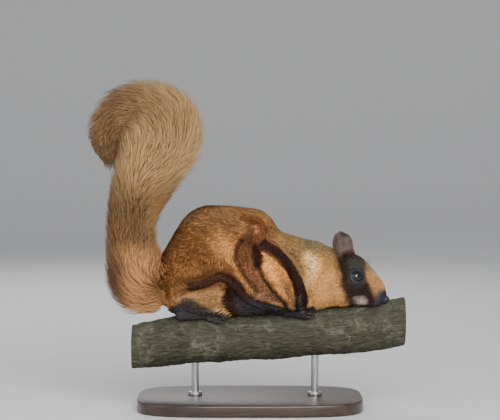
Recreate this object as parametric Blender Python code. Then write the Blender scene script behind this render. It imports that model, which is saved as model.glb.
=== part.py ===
"""Red giant flying squirrel, life size, crouched along a cut length of branch on a plain display stand.

Metres, +Z up. +X is the way the animal faces, -Y is its right side. The origin is on the floor, under the
middle of the stand's base. Heights called "up" are measured from the top of the branch at x = 0.
"""

import math
import random

import bmesh
import bpy
import numpy as np
from mathutils import Matrix, Vector

for old in list(bpy.data.objects):
    bpy.data.objects.remove(old)

MM = 0.001
GAP = 0.3 * MM
SHELL = 0.36 * MM
WELD = 0.02 * MM
RIGHT, LEFT = -1, 1

# Stand and branch
BASE_LENGTH = 270 * MM
BASE_WIDTH = 176 * MM
BASE_THICKNESS = 14 * MM
BASE_EDGE = 2.5 * MM
BASE_SIDES = 28
ROD_RADIUS = 4.5 * MM
ROD_SIDES = 16
ROD_SHOW = 42 * MM
ROD_SINK = 9 * MM
ROD_X = (-66 * MM, 78 * MM)
BRANCH_RADIUS = 29 * MM
BRANCH_SIDES = 16
BRANCH_RINGS = 12
SEAT = BASE_THICKNESS + ROD_SHOW + 2 * BRANCH_RADIUS
# x, height of the branch's top, radius
BRANCH_RUN = (
    (-142, -15, 27),
    (-112, -8, 28.5),
    (-80, -2, 30),
    (-24, -1, 29),
    (30, 1.5, 28.5),
    (80, 6, 29),
    (130, 12, 30.5),
    (186, 19, 29),
)

# Trunk and neck: x, top, bottom, half width
TRUNK_RUN = (
    (-117, 58, 22, 17),
    (-109, 66, 14, 22),
    (-99, 82, 4, 30),
    (-89, 100, -3, 37),
    (-76, 119, -6, 42),
    (-57, 129.5, -7, 46),
    (-34, 130, -7, 48),
    (-12, 128.5, -6, 48),
    (8, 124, -5, 47),
    (22, 115, -4, 46),
    (36, 99, -3, 46),
    (62, 91, -1, 42),
    (82, 84, 2, 38),
    (104, 75, 8, 33),
)
NECK_FROM = 62
TRUNK_SIDES = 20
# Where a section is widest, as a share of its height, and how square its corners are
TRUNK_MIDDLE = 0.46
TRUNK_SQUARE = 2.15

# Head, in its own frame: along the muzzle, top, bottom, half width
HEAD_AT = (118, -4, 38)
HEAD_PITCH = math.radians(26)
HEAD_YAW = math.radians(5)
HEAD_ROLL = math.radians(3)
HEAD_RUN = (
    (-42, 6, -14, 8),
    (-38, 19, -27, 20),
    (-29, 28, -34, 27),
    (-16, 32.5, -36.5, 30.5),
    (-5, 33.5, -35.5, 31),
    (5, 30.5, -32, 28.5),
    (14, 27, -28, 24),
    (24, 22.5, -23, 18.5),
    (34, 17.5, -18.5, 14.5),
    (42, 12, -14.5, 12),
    (47.5, 6.5, -10.5, 8.5),
    (50, 1, -6, 4),
)
HEAD_SIDES = 22
HEAD_RINGS = 15
# Cheeks, brows, whisker pads, chin and crown: along, left, up, reach, height
HEAD_BUMPS = (
    (-6, 27, -14, 15, 3.0),
    (8, 22, 20, 9, 1.6),
    (37, 11, -6, 9, 2.4),
    (30, 0, -21, 9, 1.4),
    (-24, 0, 30, 16, 1.5),
)
EYE_AT = (5, 22.5, 9.5)
EYE_RADIUS = 8 * MM
EYE_SIDES = 14
# The way the right or left eye looks out, mirrored in its second value
EYE_LOOK = (0.30, 0.90, 0.22)
LID_RADIUS = 1.5 * MM
LID_LONG = math.radians(63)
LID_HIGH = math.radians(56)
LID_POINTS = 14
NOSE_SIDES = 12
# The nose pad: along, half width, top, bottom
NOSE_RUN = (
    (46, 3.5, 2.5, -4.5),
    (48.5, 5.4, 4.2, -5.6),
    (51, 5.2, 3.8, -5.4),
    (52.6, 3.4, 2.0, -4.0),
)
NOSTRIL_AT = (51.5, 2.9, -2.2)
NOSTRIL_RADIUS = 1.7 * MM
# The mouth line on the left side of the head: along, left, up
MOUTH = (
    (50.0, 0.0, -8.2),
    (46.5, 7.2, -9.0),
    (41, 11.6, -10.4),
    (34, 14.6, -12.6),
    (27, 17.4, -15.6),
    (22, 19.6, -18.6),
)
LIP_RADIUS = 1.5 * MM
MOUTH_RADIUS = 0.9 * MM
EAR_HEIGHT = 37 * MM
EAR_HALF_WIDTH = 12 * MM
EAR_WALL = 2.2 * MM
EAR_AT = (-10, 19, 23)
# The ears' own axes, the left one laid further back, and the way their cups open
EAR_AXIS = {RIGHT: (-22, 8, 24), LEFT: (-26, 12, 20)}
EAR_MOUTH = (0.62, 0.78, 0.05)
EAR_ROWS = 8
EAR_COLUMNS = 7

# Limbs of the right side: x, y, up, radius
UPPER_ARM = ((60, -8, 46, 17), (40, -12, 64, 17), (15, -38, 101, 17))
FOREARM = (
    (15, -41, 104, 17),
    (1, -51, 90, 12.5),
    (-6, -56, 74, 11),
    (-2, -55, 61, 10.5),
    (7, -50, 47, 10),
    (16, -43, 35, 9),
    (27, -32, 22, 8),
    (37, -21, 12, 7),
)
THIGH = ((-71, 2, 60, 23), (-49, -25, 64, 27), (-22, -42, 57, 18))
SHANK = ((-23, -42, 58, 17), (-50, -40, 41, 14), (-72, -31, 27, 10), (-80, -22, 15, 8))
# Feet of the left side: heel's x and y, then lengths and half width, all in millimetres
HAND_AT = (37, -18.5)
HAND_LENGTH = 19
HAND_HALF_WIDTH = 8.5
FINGER_LENGTH = 17
FOOT_AT = (-90, -17.5)
FOOT_LENGTH = 44
FOOT_HALF_WIDTH = 9.5
TOE_LENGTH = 17
# How much thicker the hind foot is at its heel
FOOT_HEEL = 3
# Share of the sole's length and its half thickness
SOLE_RUN = ((0, 7.0), (0.35, 6.6), (0.75, 7.2), (1.0, 6.4))
# Share of the toe's length and its radius
TOE_RUN = ((0, 3.9), (0.4, 3.3), (0.75, 3.2), (1.0, 2.4))
# From the toe's end: ahead, to the side, up, radius
CLAW_RUN = ((-1.5, 0, 0.6, 1.7), (2.5, 0.4, 0.9, 1.35), (5.6, 1.0, -1.2, 0.6))

# Folded gliding membranes of the right side
MEMBRANE_WALL = 8 * MM
MEMBRANE_ROLL = 5.2 * MM
MEMBRANE_COLUMNS = 4
# How far the folded sheets stand out between root and edge, in millimetres, and their pleats
WING_BULGE = 13
WING_PLEATS = 3
ARM_BULGE = 2
PLEAT_DEPTH = 1.8
# The free edge, from wrist to ankle
WING_EDGE = (
    (44, -24, 6.5),
    (24, -31, 9),
    (6, -41, 15),
    (-9, -51, 25),
    (-18, -57, 37),
    (-25, -60, 45),
    (-34, -61, 48),
    (-43, -60, 44.5),
    (-53, -57, 39),
    (-64, -51, 36),
    (-75, -42, 34),
    (-84, -31, 28),
)
# Where it leaves the forearm, the flank and the leg
WING_ROOT = (
    (34, -25, 17),
    (12, -44, 42),
    (2, -52, 70),
    (6, -52, 100),
    (-16, -46, 106),
    (-42, -44, 104),
    (-68, -38, 88),
    (-82, -34, 60),
    (-84, -26, 30),
)
# The dark leading edge, from the crook of the elbow to the wrist
ARM_EDGE = (
    (11, -49, 84),
    (20, -52, 85),
    (31, -52, 80),
    (42, -51, 69),
    (51, -49.5, 55),
    (57.5, -47, 40),
    (61, -42, 25),
    (61, -32, 11),
)
ARM_ROOT = (
    (8, -50, 90),
    (0, -55, 78),
    (-1, -54, 60),
    (8, -48, 42),
    (18, -40, 30),
    (32, -27, 18),
    (46, -19, 9),
)

# Tail: x, y, up, reach of the coat from the middle
TAIL_RUN = (
    (-96, 0, 34, 31),
    (-114, 0, 37, 33),
    (-131, -3, 52, 34),
    (-141, -6, 76, 34),
    (-142, -8, 104, 34),
    (-137, -8, 132, 36),
    (-127, -7, 160, 39),
    (-114, -3, 187, 42),
    (-105, 5, 210, 43),
    (-108, 19, 227, 42),
    (-123, 33, 235, 40),
    (-142, 44, 231, 38),
    (-155, 50, 216, 33),
    (-161, 53, 198, 24),
)
TAIL_CORE = 0.48
TAIL_SIDES = 12
TAIL_RING = 13 * MM
TAIL_ROWS = (4, 3, 7)
TAIL_ROW = 21.5 * MM
TAIL_FIRST_ROW = 11 * MM
TAIL_AROUND = 8
LOCK_WIDTH = 18.5 * MM
LOCK_THICKNESS = 4.2 * MM
LOCK_ROOT = 3 * MM
LOCK_LIFT = math.radians(36)
LOCK_ARCH = 0.27
# Share of a lock's length, of its width and of its thickness
LOCK_PROFILE = ((0, 0.6, 1.2), (0.36, 1.0, 1.0), (0.72, 0.75, 0.8), (1, 0, 0))
# How far a length of core goes on past its last row of locks
LOCK_CLEAR = 11 * MM

# Faces that meet at more than this stay sharp
SHARP_ANGLE = math.radians(40)

FUR = (0.50, 0.22, 0.07)
TAIL_FUR = (0.38, 0.19, 0.08)
DARK_FUR = (0.035, 0.02, 0.016)
EAR_SKIN = (0.16, 0.09, 0.08)
EYE_COLOUR = (0.01, 0.007, 0.006)
BARK = (0.17, 0.14, 0.10)
BASE_WOOD = (0.05, 0.035, 0.025)
STEEL = (0.45, 0.45, 0.46)


def spot(x, y, up):
    """A point given in millimetres, up from the branch's top at x = 0."""
    return Vector((x * MM, y * MM, SEAT + up * MM))


def smooth_run(keys, places):
    """Rows read off a smooth curve through the key rows; places run from 0 to 1 along its length."""
    keys = np.array(keys, float)
    step = np.linalg.norm(np.diff(keys[:, : min(3, keys.shape[1])], axis=0), axis=1)
    knots = np.concatenate([[0.0], np.cumsum(step)])
    slope = np.gradient(keys, knots, axis=0)
    at = np.clip(np.asarray(places, float), 0, 1) * knots[-1]
    k = np.clip(np.searchsorted(knots, at, side="right") - 1, 0, len(knots) - 2)
    span = (knots[k + 1] - knots[k])[:, None]
    t = (at - knots[k])[:, None] / span
    return (
        (2 * t**3 - 3 * t**2 + 1) * keys[k]
        + (t**3 - 2 * t**2 + t) * span * slope[k]
        + (3 * t**2 - 2 * t**3) * keys[k + 1]
        + (t**3 - t**2) * span * slope[k + 1]
    )


def by_first_column(keys, values):
    """Rows of the smooth curve at given values of its first column, which rises."""
    dense = smooth_run(keys, np.linspace(0, 1, 400))
    return np.column_stack([np.interp(values, dense[:, 0], dense[:, c]) for c in range(dense.shape[1])])


def material(name, colour, roughness=0.85, metallic=0.0):
    made = bpy.data.materials.new(name)
    made.use_nodes = True
    shader = made.node_tree.nodes["Principled BSDF"]
    shader.inputs["Base Color"].default_value = (*colour, 1)
    shader.inputs["Roughness"].default_value = roughness
    shader.inputs["Metallic"].default_value = metallic
    made.diffuse_color = (*colour, 1)
    return made


def solid(name, points, faces, look=None):
    """One closed mesh object, its faces turned outwards."""
    mesh = bpy.data.meshes.new(name)
    mesh.from_pydata([tuple(p) for p in points], [], faces)
    work = bmesh.new()
    work.from_mesh(mesh)
    bmesh.ops.recalc_face_normals(work, faces=work.faces)
    work.to_mesh(mesh)
    work.free()
    made = bpy.data.objects.new(name, mesh)
    bpy.context.scene.collection.objects.link(made)
    if look:
        made.data.materials.append(look)
    return made


def loft(name, rings, look=None):
    """Skins rings of equal count; an end ring of one point makes a pole, any other a flat cap."""
    points, faces, starts = [], [], []
    for ring in rings:
        starts.append(len(points))
        points.extend(ring)
    for a, b in zip(range(len(rings) - 1), range(1, len(rings))):
        n = max(len(rings[a]), len(rings[b]))
        for i in range(n):
            j = (i + 1) % n
            corners = [starts[a] + i, starts[a] + j, starts[b] + j, starts[b] + i]
            if len(rings[a]) == 1:
                corners = [starts[a], starts[b] + j, starts[b] + i]
            if len(rings[b]) == 1:
                corners = [starts[a] + i, starts[a] + j, starts[b]]
            faces.append(corners)
    for end in (0, len(rings) - 1):
        n = len(rings[end])
        if n > 1:
            faces.append([starts[end] + i for i in range(n)])
    return solid(name, points, faces, look)


def frames(points, up=Vector((0, 0, 1))):
    """Tangent, side and top directions along a row of points, turned as little as possible."""
    tangents = []
    for i in range(len(points)):
        ahead, behind = points[min(i + 1, len(points) - 1)], points[max(i - 1, 0)]
        tangents.append((ahead - behind).normalized())
    top = (up - tangents[0] * up.dot(tangents[0])).normalized()
    found = []
    for tangent in tangents:
        top = (top - tangent * top.dot(tangent)).normalized()
        found.append((tangent, tangent.cross(top), top))
    return found


def limb(name, keys, sides, steps, look=None, side=RIGHT, flatten=1.0, cap=3):
    """A round-ended tube through key rows of x, y, up and radius; side mirrors it to the left."""
    keys = [(x, y * -side, up, r) for x, y, up, r in keys]
    length = sum(math.dist(a[:3], b[:3]) for a, b in zip(keys, keys[1:]))
    first, last = keys[0][3] / length, keys[-1][3] / length
    turns = [math.pi / 2 * k / cap for k in range(cap)]
    places = [first * (1 - math.cos(t)) for t in turns]
    places += list(np.linspace(first, 1 - last, steps))
    places += [1 - last * (1 - math.cos(t)) for t in reversed(turns)]
    scale = [math.sin(t) for t in turns] + [1.0] * steps + [math.sin(t) for t in reversed(turns)]
    rows = smooth_run(keys, places)
    centres = [spot(*row[:3]) for row in rows]
    rings = []
    for row, centre, s, (_, across, top) in zip(rows, centres, scale, frames(centres)):
        r = row[3] * MM * s
        if s == 0:
            rings.append([centre])
            continue
        angles = [2 * math.pi * k / sides for k in range(sides)]
        rings.append([centre + across * r * math.cos(a) + top * r * flatten * math.sin(a) for a in angles])
    return loft(name, rings, look)


def closed(work):
    return all(len(edge.link_faces) == 2 for edge in work.edges)


def welded(mesh):
    """The mesh with the shortest edges that a Boolean leaves made one point, where it stays closed."""
    for reach in (WELD, WELD / 4):
        work = bmesh.new()
        work.from_mesh(mesh)
        bmesh.ops.remove_doubles(work, verts=work.verts, dist=reach)
        bmesh.ops.dissolve_degenerate(work, edges=work.edges, dist=reach)
        if closed(work):
            return work
        work.free()
    work = bmesh.new()
    work.from_mesh(mesh)
    return work


def keep_largest(thing):
    """Drops every closed surface of the mesh but the largest."""
    work = welded(thing.data)
    unseen, islands = set(work.verts), []
    while unseen:
        island, front = set(), [unseen.pop()]
        while front:
            vert = front.pop()
            island.add(vert)
            for edge in vert.link_edges:
                other = edge.other_vert(vert)
                if other in unseen:
                    unseen.discard(other)
                    front.append(other)
        islands.append(island)

    def reach(island):
        return sum(max(v.co[k] for v in island) - min(v.co[k] for v in island) for k in range(3))

    islands.sort(key=reach)
    loose = [v for island in islands[:-1] for v in island]
    bmesh.ops.delete(work, geom=loose, context="VERTS")
    work.to_mesh(thing.data)
    work.free()


def combine(thing, others, operation, solver):
    """One Boolean of thing with all the others, applied; the others are removed."""
    group = bpy.data.collections.new("operands")
    bpy.context.scene.collection.children.link(group)
    for other in others:
        group.objects.link(other)
    change = thing.modifiers.new(operation.title(), "BOOLEAN")
    change.operation = operation
    change.operand_type = "COLLECTION"
    change.collection = group
    change.solver = solver
    bpy.context.view_layer.update()
    result = bpy.data.meshes.new_from_object(thing.evaluated_get(bpy.context.evaluated_depsgraph_get()))
    thing.modifiers.clear()
    thing.data = result
    for other in list(group.objects):
        bpy.data.objects.remove(other)
    bpy.data.collections.remove(group)
    keep_largest(thing)
    return thing


def join(thing, *others, solver="EXACT"):
    return combine(thing, others, "UNION", solver)


def cut(thing, *others):
    """Cuts with the manifold solver, as the exact one fails where the cutters cross each other."""
    return combine(thing, others, "DIFFERENCE", "MANIFOLD")


def grown_copy(thing, margin):
    """A copy of a solid whose surface stands out by the margin."""
    made = bpy.data.objects.new(thing.name + "_grown", thing.data.copy())
    bpy.context.scene.collection.objects.link(made)
    work = bmesh.new()
    work.from_mesh(made.data)
    work.normal_update()
    shifts = [v.normal * margin * min(v.calc_shell_factor(), 2.0) for v in work.verts]
    for vert, shift in zip(work.verts, shifts):
        vert.co += shift
    work.to_mesh(made.data)
    work.free()
    return made


def hull_of(thing):
    """The plain convex shape round a foot, to clear a trunk or leg of all its toes at once."""
    work = bmesh.new()
    work.from_mesh(thing.data)
    found = bmesh.ops.convex_hull(work, input=work.verts)
    spare = [g for g in found["geom_interior"] + found["geom_unused"] if isinstance(g, bmesh.types.BMVert)]
    bmesh.ops.delete(work, geom=spare, context="VERTS")
    loose = [f for f in work.faces if f not in set(found["geom"])]
    bmesh.ops.delete(work, geom=loose, context="FACES")
    mesh = bpy.data.meshes.new("hull")
    bmesh.ops.recalc_face_normals(work, faces=work.faces)
    work.to_mesh(mesh)
    work.free()
    made = bpy.data.objects.new("hull", mesh)
    bpy.context.scene.collection.objects.link(made)
    return made


def mirrored(thing, name):
    """The same solid on the other side of the animal."""
    mesh = thing.data.copy()
    mesh.transform(Matrix.Scale(-1, 4, (0, 1, 0)))
    mesh.flip_normals()
    made = bpy.data.objects.new(name, mesh)
    bpy.context.scene.collection.objects.link(made)
    return made


def clear_of(thing, *neighbours):
    """Cuts the thing back to the thin gap that it keeps to each neighbour."""
    for neighbour in neighbours:
        cut(thing, grown_copy(neighbour, SHELL))
    return thing


def slab(name, outer, inner, look=None):
    """A closed slab between two like grids of points, its quads split alike on both sides."""
    outer, inner = np.array(outer, float), np.array(inner, float)
    rows, columns = outer.shape[:2]
    count = rows * columns
    points = np.concatenate([outer.reshape(-1, 3), inner.reshape(-1, 3)])
    faces = []
    for i in range(rows - 1):
        for j in range(columns - 1):
            a = i * columns + j
            b, c, d = a + 1, a + columns + 1, a + columns
            faces += [(a, b, c), (a, c, d)]
            faces += [(count + a, count + c, count + b), (count + a, count + d, count + c)]
    rim = [j for j in range(columns)]
    rim += [i * columns + columns - 1 for i in range(1, rows)]
    rim += [(rows - 1) * columns + j for j in range(columns - 2, -1, -1)]
    rim += [i * columns for i in range(rows - 2, 0, -1)]
    for a, b in zip(rim, rim[1:] + rim[:1]):
        faces += [(a, b, count + b), (a, count + b, count + a)]
    return solid(name, points, faces, look)


def oval_ring(centre, half_width, top, bottom):
    """Points round a soft-cornered upright oval with its own top and bottom half heights."""
    ring = []
    for k in range(TRUNK_SIDES):
        turn = 2 * math.pi * k / TRUNK_SIDES
        c, s = math.cos(turn), math.sin(turn)
        wide = math.copysign(abs(c) ** (2 / TRUNK_SQUARE), c) * half_width
        high = math.copysign(abs(s) ** (2 / TRUNK_SQUARE), s) * (top if s > 0 else bottom)
        ring.append(centre + Vector((0, wide, high)))
    return ring


fur = material("orange_fur", FUR)
tail_fur = material("tail_fur", TAIL_FUR)
dark_fur = material("dark_fur", DARK_FUR, 0.7)
ear_skin = material("ear_skin", EAR_SKIN, 0.6)
eye_look = material("eye", EYE_COLOUR, 0.08)
bark = material("bark", BARK, 0.95)
base_wood = material("dark_wood", BASE_WOOD, 0.4)
steel = material("steel", STEEL, 0.35, 1.0)


# Stand: a flat dark wooden base and two short steel rods up into the branch

def branch_centre(x):
    """Height of the branch's centre line, and its radius, at x in millimetres."""
    row = by_first_column(BRANCH_RUN, [x])[0]
    return row[1] - row[2], row[2]


def build_stand():
    half = Vector((BASE_LENGTH / 2, BASE_WIDTH / 2, 0))
    outline = []
    for k in range(BASE_SIDES):
        turn = 2 * math.pi * k / BASE_SIDES
        c, s = math.cos(turn), math.sin(turn)
        outline.append((math.copysign(abs(c) ** 0.5, c) * half.x, math.copysign(abs(s) ** 0.5, s) * half.y))
    heights = ((0, 1 - BASE_EDGE / half.y), (BASE_EDGE, 1), (BASE_THICKNESS - BASE_EDGE, 1))
    heights += ((BASE_THICKNESS, 1 - BASE_EDGE / half.y),)
    rings = [[Vector((x * s, y * s, z)) for x, y in outline] for z, s in heights]
    base = loft("stand_base", rings, base_wood)
    rods = []
    for name, x in zip(("stand_rod_rear", "stand_rod_front"), ROD_X):
        axis_up, radius = branch_centre(x / MM)
        top = SEAT + (axis_up - radius) * MM + ROD_SINK
        foot = BASE_THICKNESS - ROD_SINK
        rings = []
        for z, r in ((foot, ROD_RADIUS), (top, ROD_RADIUS)):
            angles = [2 * math.pi * k / ROD_SIDES for k in range(ROD_SIDES)]
            rings.append([Vector((x + r * math.cos(a), r * math.sin(a), z)) for a in angles])
        rods.append(loft(name, rings, steel))
    clear_of(base, *rods)
    return base, rods


def build_branch(rods):
    """A cut length of branch: a slightly bent, lumpy round with flat sawn ends."""
    rings = []
    for x in np.linspace(BRANCH_RUN[0][0], BRANCH_RUN[-1][0], BRANCH_RINGS):
        axis_up, radius = branch_centre(x)
        ring = []
        for k in range(BRANCH_SIDES):
            turn = 2 * math.pi * k / BRANCH_SIDES
            lump = 0.9 * math.sin(3 * turn) * math.sin(x * 0.05)
            lump += 0.6 * math.sin(5 * turn) * math.cos(x * 0.09)
            r = radius + (lump if math.sin(turn) < 0.3 else 0.25 * lump)
            ring.append(spot(x, r * math.cos(turn), axis_up + r * math.sin(turn)))
        rings.append(ring)
    return clear_of(loft("perch", rings, bark), *rods)


# Trunk and neck: one body shape, parted by a plane

def trunk_part(name, start, end, count):
    rows = by_first_column(TRUNK_RUN, np.linspace(start, end, count))
    rings = []
    for x, top, bottom, half in rows:
        middle = bottom + (top - bottom) * TRUNK_MIDDLE
        rings.append(oval_ring(spot(x, 0, middle), half * MM, (top - middle) * MM, (middle - bottom) * MM))
    return loft(name, rings, fur)


# Head: a wedge with cheeks, brow, muzzle and chin, built in its own frame

def head_frame():
    """The head's middle, and its forward, left and top directions."""
    level_share = math.cos(HEAD_PITCH)
    ahead, aside = level_share * math.cos(HEAD_YAW), level_share * math.sin(HEAD_YAW)
    forward = Vector((ahead, -aside, -math.sin(HEAD_PITCH)))
    level = Vector((math.sin(HEAD_YAW), math.cos(HEAD_YAW), 0))
    top = forward.cross(level)
    left = level * math.cos(HEAD_ROLL) - top * math.sin(HEAD_ROLL)
    return spot(*HEAD_AT), forward, left, forward.cross(left)


def head_point(along, left, up):
    """A point given in millimetres in the head's own frame."""
    origin, ahead, side, top = head_frame()
    return origin + (ahead * along + side * left + top * up) * MM


def head_surface(along, turn, row):
    """The head's skin at one ring and angle, with its bumps."""
    _, top, bottom, half = row
    middle = (top + bottom) / 2 - 0.06 * (top - bottom)
    c, s = math.cos(turn), math.sin(turn)
    left = math.copysign(abs(c) ** 0.92, c) * half
    up = middle + math.copysign(abs(s) ** 0.92, s) * (top - middle if s > 0 else middle - bottom)
    away = Vector((0, left, up - middle)).normalized()
    point = Vector((along, left, up))
    for b_along, b_left, b_up, reach, height in HEAD_BUMPS:
        for side in (-1, 1) if b_left else (1,):
            near = (point - Vector((b_along, b_left * side, b_up))).length / reach
            point = point + away * height * math.exp(-2 * near * near)
    return point


def build_head():
    start, end = HEAD_RUN[0][0], HEAD_RUN[-1][0]
    places = start + (end - start) * (0.5 - 0.5 * np.cos(np.linspace(0.16, np.pi - 0.05, HEAD_RINGS)))
    rows = by_first_column(HEAD_RUN, places)
    rings = []
    for row in rows:
        angles = [2 * math.pi * k / HEAD_SIDES for k in range(HEAD_SIDES)]
        rings.append([head_point(*head_surface(row[0], a, row)) for a in angles])
    head = loft("head", rings, fur)
    extras = [nose_pad()]
    for side in (LEFT, RIGHT):
        extras.append(lid_ring(side))
        extras += lips(side)
    join(head, *extras, solver="MANIFOLD")
    cutters = []
    for side in (LEFT, RIGHT):
        eye = head_point(EYE_AT[0], EYE_AT[1] * side, EYE_AT[2])
        cutters.append(ball("socket", eye, EYE_RADIUS + SHELL, EYE_SIDES))
        nostril = head_point(NOSTRIL_AT[0], NOSTRIL_AT[1] * side, NOSTRIL_AT[2])
        cutters.append(ball("nostril", nostril, NOSTRIL_RADIUS, 8))
        cutters.append(mouth_groove(side))
    return cut(head, *cutters)


def ball(name, centre, radius, sides, look=None, stretch=(1, 1, 1)):
    rings = [[centre + Vector((0, 0, radius * stretch[2]))]]
    for k in range(1, sides // 2):
        tilt = math.pi * k / (sides // 2)
        ring = []
        for j in range(sides):
            turn = 2 * math.pi * j / sides
            out = Vector((math.cos(turn) * stretch[0], math.sin(turn) * stretch[1], 0)) * math.sin(tilt)
            ring.append(centre + (out + Vector((0, 0, math.cos(tilt) * stretch[2]))) * radius)
        rings.append(ring)
    rings.append([centre - Vector((0, 0, radius * stretch[2]))])
    return loft(name, rings, look)


def nose_pad():
    rings = []
    for along, half, top, bottom in NOSE_RUN:
        middle = (top + bottom) / 2
        ring = []
        for k in range(NOSE_SIDES):
            turn = 2 * math.pi * k / NOSE_SIDES
            ring.append(head_point(along, half * math.cos(turn), middle + (top - middle) * math.sin(turn)))
        rings.append(ring)
    return loft("nose_pad", rings)


def bead(name, points, radius, sides=6, closed=False):
    """A thin round run along points; closed makes it a ring."""
    count = len(points)
    rings = []
    for i, point in enumerate(points):
        ahead = points[(i + 1) % count] if closed else points[min(i + 1, count - 1)]
        behind = points[i - 1] if closed or i else points[0]
        tangent = (ahead - behind).normalized()
        across = tangent.cross(Vector((0.31, 0.93, 0.18))).normalized()
        top = across.cross(tangent)
        angles = [2 * math.pi * k / sides for k in range(sides)]
        rings.append([point + (across * math.cos(a) + top * math.sin(a)) * radius for a in angles])
    if not closed:
        return loft(name, rings)
    corners = [p for ring in rings for p in ring]
    faces = []
    for i in range(count):
        for k in range(sides):
            j, m = (i + 1) % count, (k + 1) % sides
            faces.append((i * sides + k, i * sides + m, j * sides + m, j * sides + k))
    return solid(name, corners, faces)


def lid_ring(side):
    """The rim of the lids, an almond that lies on the eyeball round the way it looks."""
    out = Vector(EYE_LOOK).normalized()
    long_way = (Vector((1, 0, -0.2)) - out * Vector((1, 0, -0.2)).dot(out)).normalized()
    high_way = out.cross(long_way)
    points = []
    for k in range(LID_POINTS):
        turn = 2 * math.pi * k / LID_POINTS
        opening = LID_LONG * math.cos(turn) ** 2 + LID_HIGH * math.sin(turn) ** 2
        rim = long_way * math.cos(turn) + high_way * math.sin(turn)
        reach = EYE_RADIUS / MM + 0.5
        point = Vector(EYE_AT) + (out * math.cos(opening) + rim * math.sin(opening)) * reach
        points.append(head_point(point.x, point.y * side, point.z))
    return bead("lid", points, LID_RADIUS, 5, closed=True)


def mouth_run(side, lift, inset):
    """Points along one side of the mouth line, raised by lift and set in, in millimetres."""
    rows = smooth_run(MOUTH, np.linspace(0, 1, 9))
    return [head_point(a, (l - inset) * side if i else 0.0, u + lift) for i, (a, l, u) in enumerate(rows)]


def lips(side):
    upper = bead("upper_lip", mouth_run(side, 1.3, 0.5), LIP_RADIUS, 5)
    lower = bead("lower_lip", mouth_run(side, -1.6, 0.9), LIP_RADIUS, 5)
    return [upper, lower]


def mouth_groove(side):
    return bead("mouth", mouth_run(side, -0.1, -0.9), MOUTH_RADIUS, 4)


def build_eye(name, side):
    centre = head_point(EYE_AT[0], EYE_AT[1] * side, EYE_AT[2])
    return ball(name, centre, EYE_RADIUS, EYE_SIDES, eye_look)


def build_ear(name, side):
    """A cupped ear: an arc of skin that opens out from a rolled base to a rounded tip."""
    root = Vector(EAR_AT)
    axis = Vector(EAR_AXIS[side]).normalized()
    mouth = Vector(EAR_MOUTH)
    mouth = (mouth - axis * mouth.dot(axis)).normalized()
    across = axis.cross(mouth)
    grids = []
    for inside in (0, 1):
        rows = []
        for p in np.linspace(0, 1, EAR_ROWS):
            flare = (0.62 + 0.92 * p - 0.15 * p * p) * math.sqrt(max(1 - p**3.2, 0.012))
            width = EAR_HALF_WIDTH / MM * flare
            spread = math.radians(100 - 42 * p)
            radius = width / math.sin(min(spread, math.pi / 2))
            wall = EAR_WALL / MM * inside * (1 - 0.35 * p)
            row = []
            for q in np.linspace(-1, 1, EAR_COLUMNS):
                turn = spread * q
                r = max(radius - wall, radius * 0.35)
                out = math.cos(spread) * radius
                height = EAR_HEIGHT / MM * p * (1 - 0.10 * q * q * p)
                point = root + axis * height + across * r * math.sin(turn)
                point -= mouth * (r * math.cos(turn) - out)
                row.append(head_point(point.x, point.y * side, point.z))
            rows.append(row)
        grids.append(rows)
    return slab(name, *grids, ear_skin)


# Limbs

def paw(name, start, length, half_width, toes, toe_length, heel, side):
    """A foot that lies over the branch's shoulder: a sole, thicker at the heel, with toes and claws that curl down."""
    x0, y0 = start
    sole_keys = []
    for share, thick in SOLE_RUN:
        x = x0 + length * share
        thick += heel * (1 - share)
        axis_up, radius = branch_centre(x)
        lean = math.asin(abs(y0) / (radius + 5))
        out = radius + thick - 2.0
        sole_keys.append((x, -out * math.sin(lean), axis_up + out * math.cos(lean), thick + 0.6))
    sole = limb(name, sole_keys, 7, 4, dark_fur, side, 0.82, cap=2)
    pieces = []
    for k in range(toes):
        spread = (k - (toes - 1) / 2) / (toes - 1)
        reach = toe_length * (1 - 0.55 * spread * spread)
        keys = []
        for share, toe_radius in TOE_RUN:
            x = x0 + length * 0.86 + reach * share
            axis_up, radius = branch_centre(x)
            lean = math.asin(min(0.95, abs(y0) / (radius + 5))) + 0.10 * share
            lean += spread * half_width * (1 + 0.5 * share) / radius
            out = radius + 3.4 + 1.6 * math.sin(math.pi * share)
            keys.append((x, -out * math.sin(lean), axis_up + out * math.cos(lean), toe_radius))
        pieces.append(limb("toe", keys, 5, 3, None, side, cap=1))
        x, y, up, _ = keys[-1]
        claw = [(x + ahead, y - aside, up + rise, thick) for ahead, aside, rise, thick in CLAW_RUN]
        pieces.append(limb("claw", claw, 4, 2, None, side, cap=1))
    return join(sole, *pieces)


def build_limb(name, upper, lower, side):
    made = limb(name, upper, 14, 5, fur, side)
    return join(made, limb("lower", lower, 12, 6, None, side), solver="MANIFOLD")


# Gliding membranes: a pleated sheet with a rounded, furred free edge

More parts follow.
